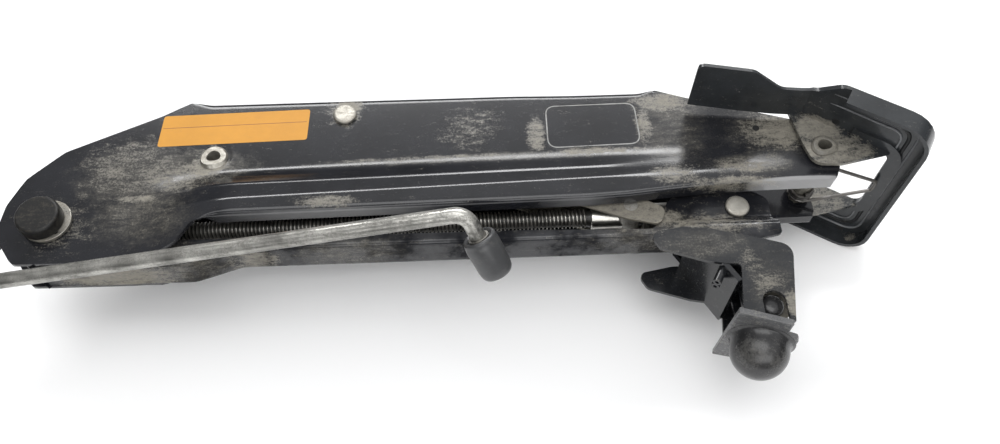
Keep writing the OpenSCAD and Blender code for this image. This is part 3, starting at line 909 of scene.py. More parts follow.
HEAD_HAZE = (
    Patch((412, -38, 27), (34, 12, 12), 0.55),
    Patch((448, -66, 27), (20, 24, 12), 0.30),
)
ARM_SPOTS = (
    Patch((44, -31, 0), (42, 14, 22), 0.90),
    Patch((132, -26, 0), (20, 10, 22), 0.85),
    Patch((420, -20, 10), (40, 16, 24), 0.75),
    Patch((385, -10, 12), (30, 9, 10), 0.80),
)
FOOT_SPOTS = (
    Patch((503, 22, 32), (34, 22, 8), 0.95),
    Patch((497, 44, 32), (22, 15, 8), 1.05),
    Patch((500, 30, -31), (46, 40, 12), 0.80),
    Patch((505, 60, 45), (22, 14, 14), 0.30),
    Patch((552, 12, -68), (11, 11, 7), 1.4),
)
HEAD_SPOTS = (
    Patch((437, -50, 27), (9, 10, 10), 0.36),
    Patch((445, -66, 27), (14, 9, 10), 0.46),
    Patch((458, -80, 27), (8, 12, 10), 0.80),
    Patch((414, -24, 27), (20, 4, 10), 0.62),
)

# Painted reflections: pale bands on the column's lips, where they face the floor and catch its
# light.
LIP_PAINTED_REFLECTIONS = (
    Patch((200, -5.5, 22), (95, 3.4, 15), 0.85),
    Patch((345, -3.5, 22), (38, 3.4, 15), 0.55),
    Patch((484, 5.5, 23), (36, 3.8, 15), 1.0, 0.22),
)

FINISHES: dict[str, Finish] = {look.name: look for look in (
    Finish("column_paint", PAINT, roughness=0.15, dust=0.04, patches=COLUMN_SPOTS, grain=0.008,
           wear=0.09, dust_colour=DUST, painted_reflections=LIP_PAINTED_REFLECTIONS, haze_and_highlight=COLUMN_HAZE),
    Finish("arm_paint", PAINT, roughness=0.18, dust=0.10, patches=ARM_SPOTS, wear=0.08,
           grain=0.010, dust_colour=(0.30, 0.28, 0.235), gloss=0.26, gloss_swing=0.9,
           haze_and_highlight=ARM_HAZE),
    # Lighter than the column's paint, as painted light for what the foot's faces reflect.
    Finish("foot_paint", (0.024, 0.0265, 0.029), roughness=0.20, dust=0.04, patches=FOOT_SPOTS,
           grain=0.010, wear=0.05, dust_colour=(0.30, 0.28, 0.235)),
    Finish("head_paint", (0.011, 0.012, 0.014), roughness=0.20, dust=0.10, patches=HEAD_SPOTS,
           grain=0.010, wear=0.08, dust_colour=DUST, haze_and_highlight=HEAD_HAZE),
    Finish("dome_paint", (0.020, 0.020, 0.021), roughness=0.22, dust=0.12, grain=0.018,
           haze_and_highlight=DOME_HAZE_AND_HIGHLIGHT, wear=0.15, wipe=(1.0, 1.0, 1.0), dust_colour=(0.17, 0.165, 0.15)),
    Finish("rivet_dusty", (0.11, 0.105, 0.09), roughness=0.34, dust=0.34, grain=0.03, mottle=0.4,
           dust_colour=(0.27, 0.25, 0.21)),
    Finish("saddle_paint", (0.085, 0.086, 0.088), roughness=0.26, dust=0.16, grain=0.012,
           wear=0.08, dust_colour=DUST),
    Finish("strut_paint", (0.030, 0.028, 0.026), roughness=0.45, dust=0.60, dust_colour=DUST),
    Finish("rivet_zinc", (0.42, 0.405, 0.365), Coat.METAL, 0.46, dust=0.30, grain=0.08,
           dust_colour=(0.30, 0.27, 0.22)),
    Finish("crank_zinc", (0.36, 0.354, 0.33), Coat.METAL, 0.29, dust=0.34, mottle=0.5, grain=0.05,
           streak=(0.35, 1.0, 1.0), wipe=(0.12, 1.0, 1.0), dust_colour=(0.06, 0.056, 0.048)),
    Finish("spindle_steel", (0.27, 0.262, 0.242), Coat.METAL, 0.34, dust=0.32, mottle=0.3,
           grain=0.02, dust_colour=(0.12, 0.105, 0.088)),
    Finish("spindle_oiled", (0.020, 0.019, 0.017), roughness=0.40, dust=0.10, mottle=0.3,
           grain=0.02, dust_colour=(0.08, 0.07, 0.06)),
    Finish("sleeve_steel", (0.56, 0.55, 0.51), Coat.METAL, 0.30, dust=0.12, mottle=0.2, grain=0.02,
           streak=(1.0, 0.3, 0.3), dust_colour=(0.12, 0.105, 0.088)),
    Finish("washer_steel", (0.36, 0.35, 0.325), Coat.METAL, 0.42, dust=0.35,
           dust_colour=(0.20, 0.18, 0.15)),
    Finish("yoke_dusty", (0.014, 0.014, 0.015), roughness=0.4, dust=0.62, grain=0.02,
           dust_colour=(0.16, 0.148, 0.12)),
    Finish("clip_steel", (0.34, 0.33, 0.30), Coat.METAL, 0.26, dust=0.42, mottle=0.4, grain=0.04,
           dust_colour=(0.15, 0.13, 0.10)),
    Finish("cap_black", (0.006, 0.006, 0.006), Coat.PLASTIC, 0.42, dust=0.22, mottle=0.2,
           grain=0.02, dust_colour=(0.085, 0.074, 0.058), gloss=0.3),
    Finish("grip_black", (0.046, 0.047, 0.049), Coat.PLASTIC, 0.34, dust=0.16, mottle=0.1,
           grain=0.02, dust_colour=(0.12, 0.115, 0.105)),
    Finish("spring_wire", (0.13, 0.125, 0.12), Coat.METAL, 0.42, dust=0.3,
           dust_colour=(0.15, 0.135, 0.11)),
    Finish("sticker_orange", (0.50, 0.228, 0.018), Coat.PRINT, 0.55, dust=0.10, mottle=0.06,
           grain=0.01, dust_colour=(0.45, 0.24, 0.09)),
    Finish("sticker_rule", (0.20, 0.075, 0.02), Coat.PRINT, 0.5, dust=0.05, mottle=0.1,
           grain=0.01),
    Finish("plate_rim", (0.27, 0.27, 0.262), roughness=0.40, dust=0.3, mottle=0.3, grain=0.01,
           dust_colour=(0.10, 0.095, 0.085)),
    # Painted highlight: light paint on the foot's bead edges.
    Finish("foot_bead_highlight", (0.12, 0.124, 0.13), roughness=0.24, dust=0.10, mottle=0.4, grain=0.01,
           dust_colour=(0.05, 0.05, 0.05)),
    # Painted shade: near-black for the groove inside the foot's bead.
    Finish("groove_painted_shade", (0.005, 0.0055, 0.006), roughness=0.34, dust=0.06, grain=0.01,
           gloss=0.3),
    # Painted shade: matt black discs where the small holes are.
    Finish("hole_painted_shade", (0.006, 0.006, 0.006), roughness=0.8, dust=0.05,
           dust_colour=(0.03, 0.027, 0.022)),
)}

# Finish of each CAD node, and the width of its rounded edges in millimetres. At a width
# of 0 the node is left as it is, or one of the classes below makes its piece.
NODES: dict[str, tuple[str, float]] = {
    "trunnion_clip": ("clip_steel", 0.5),
    "strut_channel": ("strut_paint", 0.6),
    "strut_washers": ("washer_steel", 0.3),
    "thrust_block": ("washer_steel", 0.8),
    "thrust_washers": ("washer_steel", 0.3),
    "spindle_collar": ("spindle_steel", 0.9),
    "spindle_eye": ("spindle_steel", 0.9),
    "crank_washers": ("washer_steel", 0.35),
    "head_bracket": ("head_paint", 0.8),
    "head_yoke": ("head_paint", 0.6),
    "saddle_plate": ("saddle_paint", 0.7),
    "saddle_rivets": ("head_paint", 0.9),
    "head_pin": ("rivet_zinc", 0.9),
    "strut_rivet": ("rivet_zinc", 1.0),
    "stowage_tube": ("rivet_zinc", 0.8),
    "foot_plate": ("foot_paint", 0.7),
    "foot_rivet": ("rivet_dusty", 0.7),
    "trunnion_cap": ("cap_black", 1.1),
    "nut_trunnion": ("washer_steel", 0.5),
    "head_stop": ("head_paint", 0.4),
    "saddle_dome": ("dome_paint", 0.5),
    "grip_clip": ("washer_steel", 0.2),
    "foot_spacers": ("washer_steel", 0.3),
    "collar_pin": ("spindle_steel", 0.3),
    "column_channel": ("column_paint", 0.0),
    "carrying_arm": ("arm_paint", 0.0),
    "spindle_screw": ("spindle_steel", 0.0),
    "crank_rod": ("crank_zinc", 0.0),
    "crank_grip": ("grip_black", 0.0),
    "foot_spring": ("spring_wire", 0.0),
}

# Slots of the record for finishes that it does not name.
SLOTS: dict[str, str] = {
    "dome_paint": "head_paint",
    "saddle_paint": "head_paint",
    "rivet_dusty": "head_paint",
    "yoke_dusty": "head_paint",
    "clip_steel": "washer_steel",
}


class Paintbox:
    """Materials by finish name, each made once."""

    def __init__(self) -> None:
        """Starts with no material."""
        self.made: dict[str, bpy.types.Material] = {}

    def get(self, name: str) -> bpy.types.Material:
        """Returns the material of a finish."""
        if name not in self.made:
            self.made[name] = Painter(FINISHES[name]).build()
        return self.made[name]


# ------------------------------------------------------------------ pieces


@dataclass
class Assembly:
    """Books each visual piece into its body."""

    paints: Paintbox
    bodies: dict[str, str]
    replaced: set[str] = field(default_factory=set)
    count: int = 0

    def book(self, piece: Thing, node: str, finish: str, replaces: bool = False) -> None:
        """Paints a piece and lets it ride with a node's body.

        Args:
            piece: The piece to book.
            node: CAD node that it belongs to.
            finish: Name of its finish.
            replaces: Whether it stands in for the node.
        """
        piece.data.materials.clear()
        piece.data.materials.append(self.paints.get(finish))
        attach(piece, self.bodies[node])
        look = NODES[node][0]
        SLOTS.get(look, look)
        if replaces:
            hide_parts(node)
            self.replaced.add(node)
        self.count += 1
        LOG.info("%s rides on %s", piece.name, self.bodies[node])


class Sheet:
    """Sheet-metal parts drawn as grids across their profile."""

    name = ""
    thickness = 2.5
    edge = 0.45  # width of the rolled edges
    holes: tuple[Point, ...] = ()

    def across(self, x: float) -> list[Point | None]:
        """Points of the near half's profile, ending at the middle of the web."""
        raise NotImplementedError

    def stations(self) -> list[float]:
        """Places along X at which the profile is drawn."""
        raise NotImplementedError

    def pierced(self, x: float, y: float) -> bool:
        """Whether a point lies in one of the holes, each an (x, y, radius)."""
        return any(math.hypot(x - cx, y - cy) < r for cx, cy, r in self.holes)

    @staticmethod
    def spread_out(start: float, end: float, step: float, extra: Iterable[float]) -> list[float]:
        """Stations from start to end, with extra ones put in.

        Args:
            start: First station.
            end: Last station.
            step: Distance between stations.
            extra: Stations to put in.

        Returns:
            The stations in order.
        """
        count = max(1, round((end - start) / step))
        places = {round(start + (end - start) * k / count, 3) for k in range(count + 1)}
        places |= {round(x, 3) for x in extra if start < x < end}
        kept = sorted(places)
        return [x for i, x in enumerate(kept) if i == 0 or x - kept[i - 1] > 0.15]

    def build(self) -> Thing:
        """Makes the pressing from its profile and the profile's mirror image.

        Returns:
            The new piece.
        """
        rows = []
        for x in self.stations():
            line = self.across(x)
            far = [None if p is None else (p[0], p[1], -p[2]) for p in reversed(line[:-1])]
            rows.append(line + far)
        piece = Shape().grid(rows).build(self.name, 40.0, merge=0.03)
        outward(piece)
        thicken(piece, self.thickness)
        round_edges(piece, self.edge, 50.0)
        return piece


@dataclass
class Column(Sheet):
    """The column: a pressed channel with a step, a flare and inturned lips."""

    name = "column_pressing"
    hub: float = 16.2
    wide: float = 28.5
    web_from: float = 80.0
    web_to: float = 398.0
    lip_width: float = 10.5
    bend: float = 4.5
    lip_bend: float = 3.6
    ledge: float = 0.5
    seat: float = 11.0
    creases: tuple[Flat, ...] = ((32.4, 0.016), (20.3, 0.016), (7.9, 0.029))
    holes: tuple[Point, ...] = ((*TUBE_AT, 5.6), (*FOOT_AT, 5.6), (0.0, 0.0, 8.0))
    outline: list[Flat] = field(default_factory=list)

    def __post_init__(self) -> None:
        """Draws the flank's outline, whose open edge follows the lip."""
        web, edge = self.web, self.lip
        self.outline = rounded([
            (-14, -29, 4), (-29, -8, 8), (-27, 14, 14), (-19, 34, 12), (2, 55, 14), (62, 83, 10),
            (73, 89.2, 5), (80, web(80), 0.01), (398, web(398), 0.01), (424, web(398) - 10, 8),
            (473, 59, 8), (491, 53, 14), (510, 21, 12),
            *((x, edge(x), 0.01) for x in (504, 460, 430, 400, 370, 345)),
            (104, edge(104), 3), (94, -8, 8), (86, -20, 14), (68, -28.5, 12), (50, -29.5, 4),
        ], 8)

    @staticmethod
    def web(x: float) -> float:
        """Height of the web's outer face."""
        return 93.0 - 7.0 * (x - 72.0) / 326.0

    @staticmethod
    def lip(x: float) -> float:
        """Height of the open edge."""
        return -5.0 + 0.0145 * (x - 92.0) + 5.6 * smoothstep(345.0, 440.0, x)

    def upper(self, x: float) -> float:
        """Height of the flank's upper flat above the middle plane."""
        dip = 1.3 * smoothstep(290.0, 350.0, x) * smoothstep(485.0, 400.0, x)
        return self.hub + 0.0273 * max(0.0, x - 60.0) - dip

    def step(self, x: float) -> tuple[float, float, float]:
        """The three crease lines of the pressed step at x."""
        return tuple(height + slope * (x - 160.0) for height, slope in self.creases)

    def height(self, x: float, y: float) -> float:
        """Height of the near flank's outer face above the middle plane.

        Args:
            x: Place along the column.
            y: Place across the flank.

        Returns:
            The height in millimetres.
        """
        low, ledge = self.upper(x), self.ledge
        full = low + (self.wide - low) * smoothstep(50.0, 122.0, x)
        top, first, second = self.step(x)
        soft = 1.0 + 2.5 * smoothstep(350.0, 400.0, x)
        mid = full - min(0.265 * (first - ledge - second), 0.5 * (full - low))
        upper = (mid - low) / (top - first - ledge)
        lower = (full - mid) / (first - ledge - second)
        value = low + upper * corner_ramp(top - y, 4.6)
        value -= upper * corner_ramp(first + ledge - y, soft)
        value += lower * corner_ramp(first - ledge - y, soft)
        value -= lower * corner_ramp(second - y, 1.15 * soft)
        away = math.hypot(x - TUBE_AT[0], y - TUBE_AT[1])
        seat = self.upper(TUBE_AT[0]) + max(0.0, away - self.seat)
        return min(value, seat)

    def levels(self, x: float, base: float, ceiling: float) -> list[float]:
        """Heights of the profile's points, closer together at the creases.

        Args:
            x: Station along the column.
            base: Lowest height.
            ceiling: Greatest height.

        Returns:
            The heights above the lowest one.
        """
        top, first, second = self.step(x)
        heights: list[float] = []
        last = base
        for place, count in (
            (second - 1.6, 6), (second + 1.6, 8), (first - 1.8, 3), (first + 1.8, 10),
            (top - 5.0, 3), (top + 5.0, 12), (top + 15.0, 8), (ceiling, 22),
        ):
            goal = min(max(place, last + 0.001 * count), ceiling)
            if place == ceiling:
                goal = max(ceiling, last)
            heights += [last + (goal - last) * k / count for k in range(1, count + 1)]
            last = goal
        return heights

    def across(self, x: float) -> list[Point | None]:
        """Points from the lip's inner edge up to the middle of the web.

        Args:
            x: Station along the column.

        Returns:
            The profile's points, with None in a hole.
        """
        low, high = span(self.outline, x)
        has_lip = smoothstep(97.0, 112.0, x) * smoothstep(508.0, 503.0, x)
        has_web = 1.0 if self.web_from <= x <= self.web_to else 0.0
        lip_bend = max(0.01, self.lip_bend * has_lip)
        bend = self.bend * smoothstep(self.web_from, self.web_from + 16.0, x)
        bend = max(0.02, bend * smoothstep(self.web_to, self.web_to - 14.0, x)) * has_web
        base, ceiling = low + lip_bend, high - bend
        face = self.height(x, base)
        reach = (self.lip_width * has_lip - lip_bend) * has_lip
        points: list[Point | None] = [
            (x, low, face - lip_bend - reach * (1 - k / 5)) for k in range(5)
        ]
        points += [(x, low + lip_bend * c, face - lip_bend * (1 - s)) for s, c in quarter(5)]
        for y in self.levels(x, base, ceiling):
            points.append(None if self.pierced(x, y) else (x, y, self.height(x, y)))
        if not has_web:
            return points + [None] * 13
        crown = self.height(x, ceiling)
        points += [(x, ceiling + bend * s, crown - bend * c) for s, c in quarter(7)[1:]]
        return points + [(x, high, (crown - bend) * (1 - k / 6)) for k in range(1, 7)]

    def stations(self) -> list[float]:
        """Places along X, closer together at the ends and the hub.

        Returns:
            The stations in order.
        """
        return self.spread_out(-28.9, 507.6, 2.6, [
            -28.6, -28.0, -27.0, -25.5, -24.0, 79.8, 80.0, 398.0, 398.2, 506.9, 505.6,
            *(90.0 + 1.0 * k for k in range(24)), *(50.0 + 1.3 * k for k in range(8)),
        ])


@dataclass
class Arm(Sheet):
    """The carrying arm: a channel that rises under the hub and widens at the head."""

    name = "carrying_arm_pressing"
    thickness = 2.4
    edge = 0.5
    half: float = 12.6
    wide: float = 24.1
    bend: float = 3.2
    end_x: float = 402.0
    holes: tuple[Point, ...] = ((0.0, 0.0, 8.0), (441.0, -3.0, 4.0))
    outline: list[Flat] = field(default_factory=list)

    def __post_init__(self) -> None:
        """Draws the flank's outline."""
        self.outline = rounded([
            (-23, -14, 8), (-22, 14, 12), (0, 25, 14), (24, 18, 14), (72, -13.5, 12),
            (300, -14.5, 20), (386, -17.0, 6), (398, 6, 8), (453, 9, 4), (462, 3, 6),
            (462, -30, 3), (437, -35, 10), (402, -22, 6), (121, -22, 12), (92, -31.5, 12),
            (-2, -31.5, 0.01),
        ], 8)

    def spread(self, x: float, y: float) -> float:
        """How far the flank stands out at the widened end."""
        skirt = smoothstep(self.end_x - 4.0, self.end_x + 8.0, x)
        drop = ease((-12.0 - y) / 8.0, 0.3)
        return skirt * drop * (self.wide - self.half)

    def across(self, x: float) -> list[Point | None]:
        """Points from the flank's upper edge down to the middle of the web.

        Args:
            x: Station along the arm.

        Returns:
            The profile's points, with None in a hole.
        """
        low, high = span(self.outline, x)
        has_web = -2.0 <= x <= self.end_x - 1.0
        bend = self.bend if has_web else 0.01
        floor = low + bend
        points: list[Point | None] = []
        for k in range(27):
            y = high + (floor - high) * k / 26
            face = self.half + self.spread(x, y)
            points.append(None if self.pierced(x, y) else (x, y, face))
        if not has_web:
            return points + [None] * 11
        points += [(x, floor - bend * s, self.half - bend * c) for s, c in quarter(6)[1:]]
        return points + [(x, low, (self.half - bend) * (1 - k / 5)) for k in range(1, 6)]

    def stations(self) -> list[float]:
        """Places along X, closer together at the ends and where the web stops.

        Returns:
            The stations in order.
        """
        return self.spread_out(-22.9, 461.9, 3.0, [
            -22.5, -21.5, -20.0, -2.1, -2.0, 401.0, 401.2, *(404.0 + k for k in range(8)),
            461.0, 459.5,
        ])


def outward(piece: Thing) -> None:
    """Turns an open sheet so that its faces look away from the middle line.

    Args:
        piece: The open sheet.
    """
    with edited(piece.data) as work:
        total = sum(face.normal.z * face.calc_center_median().z * face.calc_area()
                    for face in work.faces)
        if total < 0:
            bmesh.ops.reverse_faces(work, faces=work.faces)


class Repeater(Wires):
    """Geometry Nodes tree that repeats a mesh along X."""

    def __init__(self, name: str) -> None:
        """Builds the tree with its named inputs.

        Args:
            name: Name of the tree.
        """
        super().__init__(bpy.data.node_groups.new(name, "GeometryNodeTree"))
        self.slots = self.sockets({"Geometry": "Geometry", "Count": "Int", "Pitch": "Float",
                                   "Material": "Material"})
        self.sockets({"Geometry": "Geometry"}, "OUTPUT")
        start = self.add("NodeGroupInput").outputs
        offset = self.add("ShaderNodeCombineXYZ", {"X": start["Pitch"]})
        line = self.add("GeometryNodeMeshLine",
                        {"Count": start["Count"], "Offset": offset.outputs[0]})
        copies = self.add("GeometryNodeInstanceOnPoints",
                          {"Points": line.outputs["Mesh"], "Instance": start["Geometry"]})
        real = self.add("GeometryNodeRealizeInstances", [copies.outputs[0]])
        paint = self.add("GeometryNodeSetMaterial",
                         {"Geometry": real.outputs[0], "Material": start["Material"]})
        self.add("NodeGroupOutput", [paint.outputs[0]])

    def run(self, piece: Thing, **values: object) -> None:
        """Repeats a piece's mesh and bakes the result into it.

        Args:
            piece: Piece whose mesh is one repeat.
            **values: Count, Pitch in metres and Material.
        """
        modifier = piece.modifiers.new("repeat", "NODES")
        modifier.node_group = self.tree
        for label, value in values.items():
            modifier[self.slots[label].identifier] = value
        graph = bpy.context.evaluated_depsgraph_get()
        baked = bpy.data.meshes.new_from_object(piece.evaluated_get(graph), depsgraph=graph)
        piece.modifiers.remove(modifier)
        with edited(baked) as work:
            bmesh.ops.remove_doubles(work, verts=work.verts, dist=SAME_PLACE)
            bmesh.ops.holes_fill(work, edges=work.edges, sides=12)
            bmesh.ops.recalc_face_normals(work, faces=work.faces)
        piece.data = baked


@dataclass
class Spindle:
    """The spindle's trapezoidal thread."""

    start: float = -33.0
    end: float = 346.0
    radius: float = 6.35
    root: float = 5.05
    pitch: float = 2.5
    shank: float = 6.0
    plain: float = 51.0
    sides: int = 36

    def build(self, assembly: Assembly) -> None:
        """Makes the core with its plain shank, and the ridge.

        Args:
            assembly: Where the pieces are booked.
        """
        length, full = self.end - self.start, self.radius
        last = length + self.plain
        core = Shape().lathe([
            (0, 0), (full - 1.2, 0), (full, 1.2), (full, 5.5), (self.root, 6.5),
            (self.root, length - 2.0), (self.shank, length), (self.shank, last),
            (self.shank - 0.8, last + 1.0), (0, last + 1.0),
        ], (self.start, 0, 0), (1, 0, 0), 48)
        assembly.book(core.build("spindle_core", 30.0), "spindle_screw", "spindle_oiled", True)
        profile = ((-0.92, self.root - 0.25), (-0.34, full), (0.34, full), (0.92, self.root - 0.25))
        rows = []
        for k in range(self.sides + 1):
            a = 2 * math.pi * k / self.sides
            x = self.start + 5.0 + self.pitch * k / self.sides
            rows.append([(x + dx, r * math.cos(a), r * math.sin(a)) for dx, r in profile])
        piece = Shape().grid(rows, close=True).build("spindle_thread", 25.0)
        Repeater("thread_turns").run(
            piece, Count=int((length - 6.0) / self.pitch), Pitch=self.pitch / MM,
            Material=assembly.paints.get("spindle_steel"),
        )
        smooth(piece.data, 25.0)
        assembly.book(piece, "spindle_screw", "spindle_steel", True)


def thrust_sleeve(assembly: Assembly) -> None:
    """Makes the turned sleeve of the thrust block, on the head side of its barrel.

    Args:
        assembly: Where the pieces are booked.
    """
    start, length, bore, outer = 347.0, 21.0, 6.25, 7.2
    shape = Shape().lathe([
        (bore, 0.0), (outer - 0.5, 0.0), (outer, 0.5), (outer, length - 0.4),
        (outer - 0.4, length), (bore, length), (bore, 0.0),
    ], (start, 0, 0), (1, 0, 0), 64)
    assembly.book(shape.build("thrust_sleeve", 30.0), "thrust_block", "sleeve_steel")


@dataclass
class FootMarks:
    """Bead edges painted light as highlights, a groove painted dark as shade, and small holes on
    the foot's inner face, painted dark as shade.
    """

    origin: Flat = (-8.0, 29.0)
    end: Flat = (65.0, -16.465)
    face: float = 2.6
    sunk: Flat = (14.0, 44.0)  # distances between which the bead's ends rise

    def at(self, s: float, z: float, rise: float) -> Point:
        """A point on the inner face.

        Args:
            s: Distance along the ground plane from where it starts.
            z: Distance from the middle plane.
            rise: Height above the inner face.

        Returns:
            The point in drawing millimetres.
        """
        start, end = Vector(self.origin), Vector(self.end)
        along = (end - start).normalized()
        inward = Vector((along.y, -along.x)) * (self.face + rise)
        place = start + along * s + inward + Vector(FOOT_AT)
        return (place.x, place.y, z)

    def build(self, assembly: Assembly) -> None:
        """Makes the bead edges and the groove, whose ends sink in, and the holes; the bead edges
        are painted light as highlights, the groove and the holes dark as shade.

        Args:
            assembly: Where the pieces are booked.
        """
        for name, s, z, radius, rise, thick, finish in (
            ("foot_bead_outer", 71.4, 61.2, 17.0, 0.25, 0.8, "foot_bead_highlight"),
            ("foot_groove", 66.8, 56.6, 13.5, -0.9, 1.6, "groove_painted_shade"),
            ("foot_bead_inner", 62.6, 52.4, 11.0, 0.25, 0.8, "foot_bead_highlight"),
        ):
            half = [*((u, z, 0.01) for u in (14.0, 30.0, 44.0)), (s, z, radius)]
            loop = rounded(half + [(u, -v, r) for u, v, r in reversed(half)], 10)
            path = [Vector(self.at(u, v, rise - 1.0 * (1.0 - smoothstep(*self.sunk, u))))
                    for u, v in loop]
            assembly.book(Shape().tube(path, thick, 12).build(name, 60.0), "foot_plate", finish)
        # Small holes: matt black discs painted as the shade inside them.
        pinhole = [(0, 0), (2.5, 0), (2.5, 0.5), (0, 0.5)]
        for k, (s, z) in enumerate(
            [(-2.0, 39.7), (22.2, 38.4), (46.3, 38.1), (66.9, 57.9), (60.7, -64.4)], 1
        ):
            normal = Vector(self.at(s, z, 1.0)) - Vector(self.at(s, z, 0.0))
            shape = Shape().lathe(pinhole, self.at(s, z, -0.4), tuple(normal), 28)
            assembly.book(shape.build(f"foot_pinhole_{k}", 30.0), "foot_plate", "hole_painted_shade")


def saddle_bolts(assembly: Assembly, base: float) -> None:
    """Makes rounded bolt heads over the saddle's rivets, and the near yoke's ear.

    Args:
        assembly: Where the pieces are booked.
        base: Half width of the head where the bolts stand, in millimetres.
    """
    dome = [(0, 0), (7.0, 0), (7.3, 0.5), (6.9, 2.2), (5.4, 3.6), (2.8, 4.3), (0, 4.5)]
    for name, side in (("saddle_bolt_near", 1.0), ("saddle_bolt_far", -1.0)):
        shape = Shape().lathe(dome, (*BOLT_AT, side * base), (0, 0, side), 40)
        assembly.book(shape.build(name, 60.0), "saddle_rivets", "dome_paint")
    disc = [(0, 0), (10.5, 0), (10.5, 2.2), (0, 2.2)]
    ear = Shape().lathe(disc, (448.0, BOLT_AT[1], base - 2.2), (0, 0, 1.0), 48)
    assembly.book(ear.build("yoke_ear_near", 40.0), "head_yoke", "yoke_dusty")


def crimp(piece: Thing, centre: Flat, depth: float, drop: float) -> None:
    """Beats a flared rim out of round.

    Args:
        piece: The piece whose rim is changed.
        centre: Middle of the rim, in drawing millimetres.
        depth: Height of the rim, in millimetres.
        drop: How far the rim is beaten down, in millimetres.
    """
    above = max(abs(vertex.co.z) for vertex in piece.data.vertices) * MM - depth
    for vertex in piece.data.vertices:
        x = vertex.co.x * MM - FRAME.pivot_x - centre[0]
        y = vertex.co.y * MM - FRAME.pivot_y - centre[1]
        z = vertex.co.z * MM
        if abs(z) < above:
            continue
        a = math.atan2(y, x)
        grow = 0.075 * math.cos(2 * a - 0.6) + 0.05 * math.cos(3 * a + 0.9)
        vertex.co.x += x * grow / MM
        vertex.co.y += y * grow / MM
        vertex.co.z -= math.copysign(drop * (1.0 + math.cos(2 * a + 0.8)), z) / MM


@dataclass
class Crank:
    """The folded crank: a bent rod with a free-turning grip."""

    eye: Flat = (-47.0, 0.0)
    bend: Point = (266.0, -38.0, 72.5)
    grip: Point = (0.42, -0.5, -0.757)
    radius: float = 4.8
    grip_from: float = 16.0
    grip_length: float = 27.0
    grip_radius: float = 10.5
    fillet: float = 9.5
    chord: float = 6.0

    def build(self, assembly: Assembly) -> None:
        """Makes the rod with its two collars, and the grip.

        Args:
            assembly: Where the pieces are booked.
        """
        x, y = self.eye
        r, low, high = self.grip_radius, self.grip_from, self.grip_from + self.grip_length
        end = Vector(self.bend) + Vector(self.grip).normalized() * (high - 4.0)
        corners = [(x, y, -10.9), (x, y, 17.5), (x, -44.5, 17.5), self.bend, tuple(end)]
        path = fillet_path(corners, self.fillet, 14)
        dense: list[Vector] = [path[0]]
        for a, b in zip(path, path[1:]):
            parts = max(1, int((b - a).length / self.chord))
            dense += [a + (b - a) * k / parts for k in range(1, parts + 1)]
        rod = Shape().tube(dense, self.radius, 28)
        rod.lathe([(0, -2.6), (5.6, -2.6), (6.8, -1.4), (6.8, -0.6), (5.4, 0), (0, 0)],
                  (x, y, -8.4), (0, 0, 1), 40)
        rod.lathe([(0, 0), (5.8, 0), (6.2, 0.5), (6.2, 1.4), (5.6, 1.9), (0, 1.9)],
                  (x, y, 7.7), (0, 0, 1), 40)
        assembly.book(rod.build("crank_rod_bent", 50.0), "crank_rod", "crank_zinc", True)
        bore = self.radius + 0.35
        cup = Shape().lathe([
            (0, high - 2.5), (bore, high - 2.5), (bore, low + 2.2), (r - 3.6, low + 1.8),
            (r - 3.0, low + 0.6), (r - 2.0, low), (r - 1.2, low + 0.15), (r - 0.6, low + 0.8),
            (r - 0.35, low + 1.6), (r - 0.55, low + 2.6), (r - 0.2, low + 4.2), (r, low + 6.0),
            (r - 0.35, high - 6.0), (r - 0.9, high - 2.6), (r - 1.8, high - 0.9),
            (r - 3.2, high - 0.1), (0, high),
        ], self.bend, self.grip, 56)
        assembly.book(cup.build("grip_cup", 40.0), "crank_grip", "grip_black", True)


@dataclass
class Labels:
    """The bare sticker and the bare nameplate on the column's flank."""

    column: Column

    def build(self, assembly: Assembly) -> None:
        """Makes the sticker, its rule, a small hole painted dark as shade, and the plate's frame.

        Args:
            assembly: Where the pieces are booked.
        """
        corners = [(61.7, 57.0, 2.0), (161.3, 57.3, 2.0), (162.1, 82.7, 2.0), (63.1, 82.5, 2.0)]
        rule = [(63.6, 71.9), (160.3, 72.1), (160.3, 72.5), (63.6, 72.3)]
        hole = [(459.9 + 2.3 * c, 49.4 + 2.3 * s) for c, s in circle(32)]
        for name, outline, rise, finish in (
            ("sticker_film", rounded(corners, 5), 0.10, "sticker_orange"),
            ("sticker_rule_line", rule, 0.14, "sticker_rule"),
            # The small hole is a dark disc painted as shade.
            ("flank_pinhole", hole, 0.06, "hole_painted_shade"),
        ):
            shape = Shape().slab(outline, 0.0, 1.0)
            shape.verts = [(x, y, self.column.height(x, y) + (rise if z > 0.5 else -0.3))
                           for x, y, z in shape.verts]
            assembly.book(shape.build(name, 40.0), "column_channel", finish)
        for name, g, radius, finish in (
            ("nameplate_line", 0.0, 0.45, "plate_rim"),
            ("nameplate_edge", 1.5, 0.38, "column_paint"),
        ):
            shape = Shape().grid(self.frame(g, radius), close=True)
            assembly.book(shape.build(name, 60.0, merge=0.01), "column_channel", finish)

    def frame(self, grow: float, radius: float) -> list[list[Point]]:
        """Rows of the thin raised line round the nameplate.

        Args:
            grow: How far the line lies outside the plate's edge.
            radius: Half width of the line.

        Returns:
            A row of points for each place along the line, the first one twice.
        """
        g = grow
        loop = rounded([
            (321.4 - g, 41.8 - g, 7 + g), (382.6 + g, 42.4 - g, 7 + g),
            (381.8 + g, 76.2 + g, 7 + g), (321.8 - g, 76.2 + g, 7 + g),
        ], 8)
        rows = []
        for i, (x, y) in enumerate(loop):
            along = (Vector(loop[(i + 1) % len(loop)]) - Vector(loop[i - 1])).normalized()
            z = self.column.height(x, y)
            rows.append([(x + along.y * radius * c, y - along.x * radius * c, z + 0.6 * radius * s)
                         for c, s in circle(8)])
        return rows + [rows[0]]


# ------------------------------------------------------------------ studio


